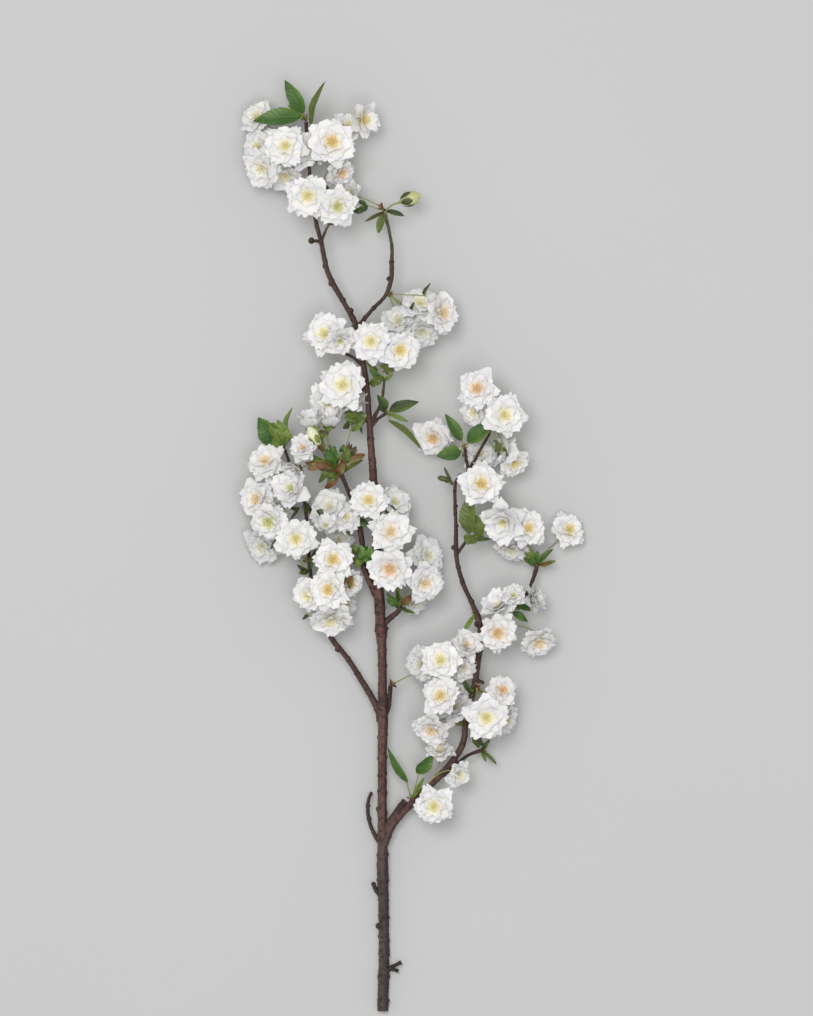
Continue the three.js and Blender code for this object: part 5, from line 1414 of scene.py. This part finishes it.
# For each spur: [base x, y, z, tip x, y, z, width, tint]
# The order counts here too, so a spur may come twice.
BRACTS = [
    ("top_lower", [[325, 182, 62, 329, 195, 68, 7, "dark"], [323, 205, 58, 321, 196, 66, 4, "dark"]]),
    ("top_upper", [[317, 166, 50, 313, 159, 58, 4, "dark"]]),
    ("upper_right", [[368, 206, 44, 353, 212, 50, 8, "dark"], [367, 206, 44, 357, 201, 48, 5, "dark"]]),
    ("upper_node", [[412, 315, 46, 414, 303, 56, 4, "dark"], [424, 296, 46, 428, 285, 56, 4, "dark"]]),
    ("upper_middle", [[350, 338, 56, 341, 334, 66, 5, "olive"]]),
    ("upper_twig", [
        [378, 372, 48, 368, 361, 52, 7, "olive"], [380, 366, 50, 394, 372, 50, 8, "olive"],
        [384, 377, 47, 368, 384, 46, 10, "olive"],
    ]),
    ("trunk_tuft", [
        [365, 416, 44, 346, 424, 44, 9, "olive"], [365, 414, 45, 344, 413, 46, 6, "olive"],
        [366, 418, 44, 361, 434, 42, 9, "leaf"], [365, 417, 44, 352, 432, 43, 7, "lime"],
    ]),
    ("middle_tip", [
        [334, 466, 50, 306, 462, 58, 9, "rust"], [338, 472, 50, 318, 480, 52, 9, "olive"],
        [338, 470, 50, 320, 469, 57, 8, "brown"], [337, 466, 50, 326, 450, 57, 8, "leaf"],
        [337, 464, 50, 335, 446, 57, 7, "leaf"], [341, 464, 49, 351, 444, 55, 8, "rust"],
        [343, 462, 49, 365, 455, 53, 8, "rust"], [343, 464, 48, 357, 450, 53, 6, "leaf"],
        [316, 440, 58, 308, 429, 62, 7, "lime"], [320, 440, 58, 328, 431, 63, 7, "lime"],
        [341, 474, 46, 325, 489, 44, 7, "rust"], [339, 473, 47, 328, 484, 47, 9, "olive"],
        [326, 464, 52, 312, 458, 58, 8, "leaf"], [321, 463, 54, 308, 469, 58, 9, "tan"],
        [324, 452, 54, 320, 438, 59, 8, "brown"], [335, 458, 52, 331, 447, 60, 7, "leaf"],
        [340, 452, 54, 345, 446, 60, 6, "leaf"], [345, 462, 50, 349, 449, 58, 8, "olive"],
        [351, 456, 53, 357, 447, 58, 7, "brown"], [352, 455, 52, 365, 459, 48, 5, "tan"],
        [337, 474, 49, 345, 464, 57, 9, "rust"], [335, 472, 50, 341, 463, 59, 8, "rust"],
        [312, 428, 58, 320, 433, 64, 7, "lime"], [324, 427, 58, 333, 427, 64, 7, "lime"],
        [318, 432, 60, 329, 434, 66, 5, "brown"],
    ]),
    ("trunk_tuft", [
        [354, 424, 46, 348, 412, 50, 9, "lime"], [358, 418, 46, 346, 419, 51, 8, "olive"],
        [350, 424, 46, 343, 428, 48, 6, "dark"],
    ]),
    ("left_leaf", [[284, 447, 33, 270, 424, 47, 19, "lime"], [285, 446, 34, 281, 422, 46, 12, "lime"]]),
    ("left_upper", [
        [300, 508, 33, 288, 508, 40, 4, "dark"], [299, 507, 34, 291, 519, 40, 3.5, "dark"],
        [302, 507, 33, 311, 509, 40, 7, "dark"],
    ]),
    ("left_lower", [
        [309, 570, 32, 315, 551, 42, 6, "dark"], [307, 571, 31, 298, 565, 40, 5, "dark"],
        [306, 573, 31, 299, 573, 38, 6, "olive"], [280, 540, 34, 271, 547, 42, 5, "dark"],
    ]),
    ("middle_upper", [[327, 517, 56, 317, 511, 60, 8, "dark"], [345, 527, 50, 350, 535, 56, 6, "dark"]]),
    ("middle_lower", [
        [362, 557, 45, 349, 550, 52, 12, "olive"], [361, 559, 45, 350, 560, 50, 9, "olive"],
        [368, 557, 45, 388, 559, 56, 12, "olive"], [368, 555, 45, 383, 552, 55, 9, "olive"],
        [364, 559, 46, 356, 565, 52, 8, "lime"], [364, 559, 47, 360, 546, 56, 9, "fresh"],
        [365, 559, 47, 372, 547, 56, 9, "fresh"], [364, 557, 47, 372, 562, 54, 7, "fresh"],
    ]),
    ("left_fork", [[344, 585, 44, 352, 578, 60, 9, "rust"], [347, 583, 46, 344, 576, 60, 6, "olive"]]),
    ("middle_lower", [[368, 554, 45, 378, 546, 56, 5, "dark"]]),
    ("centre_right", [[385, 511, 48, 396, 508, 54, 7, "dark"], [386, 508, 50, 392, 516, 58, 4, "dark"]]),
    ("trunk_spur", [
        [399, 605, 39, 387, 599, 45, 8, "leaf"], [399, 603, 40, 397, 590, 47, 7, "dark"],
        [401, 604, 39, 413, 596, 45, 8, "rust"], [401, 607, 38, 410, 612, 42, 5, "dark"],
    ]),
    ("left_root", [[331, 606, 58, 337, 608, 62, 4, "dark"], [309, 615, 50, 303, 618, 54, 4, "dark"]]),
    ("right_hanging", [
        [482, 539, 41, 469, 512, 46, 14, "olive"], [478, 540, 42, 464, 536, 48, 13, "olive"],
        [478, 533, 44, 472, 518, 50, 8, "rust"],
    ]),
    ("right_top", [[494, 440, 46, 496, 451, 56, 8, "olive"], [503, 446, 46, 508, 456, 52, 5, "olive"]]),
    ("fork_tip", [
        [537, 563, 23, 537, 551, 30, 7, "leaf"], [536, 565, 22, 526, 558, 28, 8, "leaf"],
        [538, 565, 22, 552, 563, 25, 5, "rust"],
    ]),
    ("fork_low", [[515, 607, 31, 525, 606, 36, 7, "leaf"]]),
    ("right_lower", [[464, 722, 34, 460, 713, 42, 7, "dark"], [463, 724, 34, 455, 722, 42, 5, "olive"]]),
    ("side_twig", [
        [480, 748, 24, 471, 736, 32, 9, "olive"], [482, 746, 24, 479, 735, 32, 7, "brown"],
        [484, 748, 24, 489, 740, 29, 5, "leaf"],
    ]),
]
NEAR = 8 * MM  # a bract nearer to its spur than this has no stalk of its own
BRACT_SEED = 6133  # times a bract's number, starts its random draws
KNOTS = {**FLOWER_SPURS, **LEAF_SPURS, "trunk_tuft": TRUNK_TUFT}


def add_bract(rows, stalks, knot, number, row):
    """A leaflet, with a thin stalk where it stands away from its knot."""
    width, tint = row[6:]
    draw = seeded(number * BRACT_SEED)
    base = place(*row[:3])
    rib = place(*row[3:6]) - base
    across = rib.cross(Vector((draw() - 0.5, draw() - 0.5, 1.0)))
    add_blade(rows, base, rib, across, rib.length, width / 2 * MM, tint_of(LEAF_TINTS[tint]),
              arch=0.10 + 0.14 * draw(), fold=0.15 + 0.4 * draw(), wave=0.35, twist=2.0 * (draw() - 0.5),
              droop=0.3 * draw(), seed=6.0 * draw())
    if (base - knot).length > NEAR:
        add_rod(stalks, [knot.lerp(base, share) for share in (0.0, 0.5, 1.1)], [0.55] * 3, [STALK_TINT] * 3)


bract_rows = Rows()
bract_list = [(spur, row) for spur, rows in BRACTS for row in rows]
for number, (spur, row) in enumerate(bract_list):
    add_bract(bract_rows, stalk_rows, place(*KNOTS[spur][:3]), number, row)
bracts = grown("bracts", bract_rows, LEAF_TREE, Lengthwise=17, Crosswise=7, Top=LEAF_TOP, Back=LEAF_BACK)
print("bracts:", len(bract_list))

# %% [markdown]
# ### Knots
# Every spur ends in a small woody knot, which closes the end of its shoot and holds the scales.

# %% A knot on every spur
KNOT_TINT = tint_of("4b3a2c")
KNOT_REACH = 0.8  # shares of the spur's radius
KNOT_RADIUS = 0.62


def add_route(rows, route, tints):
    """Adds a rod along a route of [x, y, z, radius] places."""
    add_rod(rows, [place(*row[:3]) for row in route], [row[3] for row in route], tints)


for x, y, z, radius in KNOTS.values():
    knot = swelling(x, y, z, KNOT_REACH * radius, KNOT_RADIUS * radius, 0.8)
    add_route(stalk_rows, knot, [KNOT_TINT] * len(knot))
print("knots:", len(KNOTS))

# %% [markdown]
# ### Buds
# Three flowers are still shut. A bud is a rod with an egg-shaped end, clasped by its sepals. The oldest one
# already shows white.

# %% The three buds: the tint of the egg, that of its sepals, and its [x, y, z, radius] places
BUDS = [
    ("c2c48c", "46522b", [
        [384.5, 213, 36.5, 1.0], [391, 206, 40, 0.9], [399, 203, 42, 1.1], [403, 201.5, 43, 4.2],
        [409, 199.5, 44, 7.0], [415, 197.5, 45, 6.6], [421, 195.5, 46, 1.2],
    ]),
    ("4f5a2c", "46522b", [
        [452.3, 484, 42, 1.0], [449, 481, 42, 1.0], [446, 479.5, 42, 2.5], [440, 478, 42, 2.6],
        [437.5, 477.5, 42, 0.5],
    ]),
    ("e6e6c6", "7c8a3c", [
        [340, 468, 46.5, 1.0], [330, 457, 52, 0.9], [321, 447, 57, 1.0], [317.5, 442, 60, 4.8],
        [313.5, 435.5, 63, 6.2], [310.5, 430, 65, 3.9], [309, 427.5, 66, 0.5],
    ]),
]
EGG_ROWS = 4  # the last rows of a bud are its egg
# A bud's sepals, as shares of its radius: where they start, their slant, their length and half width
CLASP_BELOW, CLASP_OUT, CLASP_SLANT, CLASP_LENGTH, CLASP_HALF = 0.3, 0.55, 0.24, 1.9, 0.5


def add_bud(rods, sepals, tint, sepal_tint, route):
    """A bud on its stalk, clasped by five sepals."""
    add_route(rods, route, [STALK_TINT] * (len(route) - EGG_ROWS) + [tint_of(tint)] * EGG_ROWS)
    foot, widest = place(*route[-EGG_ROWS][:3]), place(*route[-2][:3])
    way = (widest - foot).normalized()
    side = way.cross(UP).normalized()
    radius = max(row[3] for row in route) * MM
    for sepal in range(5):
        turn = math.tau / 5 * sepal
        away = side * math.cos(turn) + way.cross(side) * math.sin(turn)
        root = foot - way * radius * CLASP_BELOW + away * radius * CLASP_OUT
        forward = way + away * CLASP_SLANT
        add_blade(sepals, root, forward, away.cross(way), radius * CLASP_LENGTH, radius * CLASP_HALF,
                  tint_of(sepal_tint), arch=-0.16, fold=0.26)


for bud in BUDS:
    add_bud(stalk_rows, sepal_rows, *bud)
stalks = grown("stalks", stalk_rows, ROD_TREE, Material=STALK, **stalk_sizes)
sepals = grown("sepals", sepal_rows, LEAF_TREE, Lengthwise=9, Crosswise=5, Thickness=0.0003, Top=STALK,
               Back=STALK)
print("stalk faces:", len(stalks.data.polygons), "sepal faces:", len(sepals.data.polygons))

# %% [markdown]
# ## Mounting the pieces
# Every piece hides the CAD nodes that it replaces, so that their plain solids are hidden but still carry the
# physics, and rides on the part's one body.

# %% Hide the CAD nodes that the pieces replace
flower_nodes = [f"flowers_{spray}" for spray in sprays]
leaf_nodes = [f"leaves_{spur}" for spur in LEAF_SPURS]
for piece in (branch, lenticels, cut_ends):
    mounted(piece, "bark", "branch")
for spray in sprays:
    mounted(petals[spray], "petal", f"flowers_{spray}")
for spur in LEAF_SPURS:
    mounted(leaves[spur], "leaf", f"leaves_{spur}")
mounted(stamens, "petal", *flower_nodes)
for piece in (stalks, sepals, bracts):
    mounted(piece, "leaf", *flower_nodes, *leaf_nodes)
pieces = [branch, lenticels, cut_ends, stamens, stalks, sepals, bracts, *petals.values(), *leaves.values()]
for piece in pieces:
    piece.data.calc_loop_triangles()
triangles = {piece.name: len(piece.data.loop_triangles) for piece in pieces}
print("pieces:", len(pieces), "triangles:", sum(triangles.values()), "most:", max(triangles.values()))

# %% [markdown]
# ## Table, light and camera
# The sprig lies on a plain pale table under two large soft lights and an even sky, so shadows stay faint.
# The camera looks straight down on it through a long lens, which keeps the near blossoms from growing
# against the stem.

# %% The table
TABLE = grainy_material(
    "pale_table", 0.9, scale=3.0, detail=2.0, ends=(-0.5, 0.5), tints=("c5c5c5", "c7c7c7"))
TABLE_SIDE = 12.0  # metres
bpy.ops.mesh.primitive_plane_add(size=TABLE_SIDE)
table = bpy.context.object
table.name = "table"
table.data.materials.append(TABLE)
print("table:", tuple(table.dimensions))

# %% Light
def soft_light(name, spot, size, power):
    """A square lamp that looks at the middle of the sprig."""
    lamp = bpy.data.lights.new(name, "AREA")
    lamp.size = size
    lamp.energy = power
    light = bpy.data.objects.new(name, lamp)
    light.location = spot
    light.rotation_euler = (-Vector(spot)).to_track_quat("-Z", "Y").to_euler()
    bpy.context.scene.collection.objects.link(light)
    return light


SKY = 0.50
sky = bpy.data.worlds.new("even_sky")
sky.use_nodes = True
sky.node_tree.nodes["Background"].inputs["Color"].default_value = (1.0, 1.0, 1.0, 1.0)
sky.node_tree.nodes["Background"].inputs["Strength"].default_value = SKY
bpy.context.scene.world = sky
bpy.context.scene.view_settings.view_transform = "Standard"
soft_light("window", (-0.6, 0.8, 4.2), size=1.6, power=78)
soft_light("fill", (0.5, -0.6, 4.4), size=1.6, power=38)
print("lights:", len(bpy.data.lights), "and the sky")

# %% The camera
LENS = 200.0
SENSOR = 36.0
VIEW_HEIGHT = 1.016  # what the frame's long side takes in at the sprig's middle height
VIEW_MIDDLE = place(406.5, 508, 35)

camera_data = bpy.data.cameras.new("camera")
camera_data.lens = LENS
camera_data.sensor_width = SENSOR
camera_data.clip_end = 50.0
camera = bpy.data.objects.new("camera", camera_data)
camera.location = VIEW_MIDDLE + Vector((0, 0, VIEW_HEIGHT * LENS / SENSOR))
bpy.context.scene.collection.objects.link(camera)
bpy.context.scene.camera = camera
print("camera at", tuple(round(part, 3) for part in camera.location))
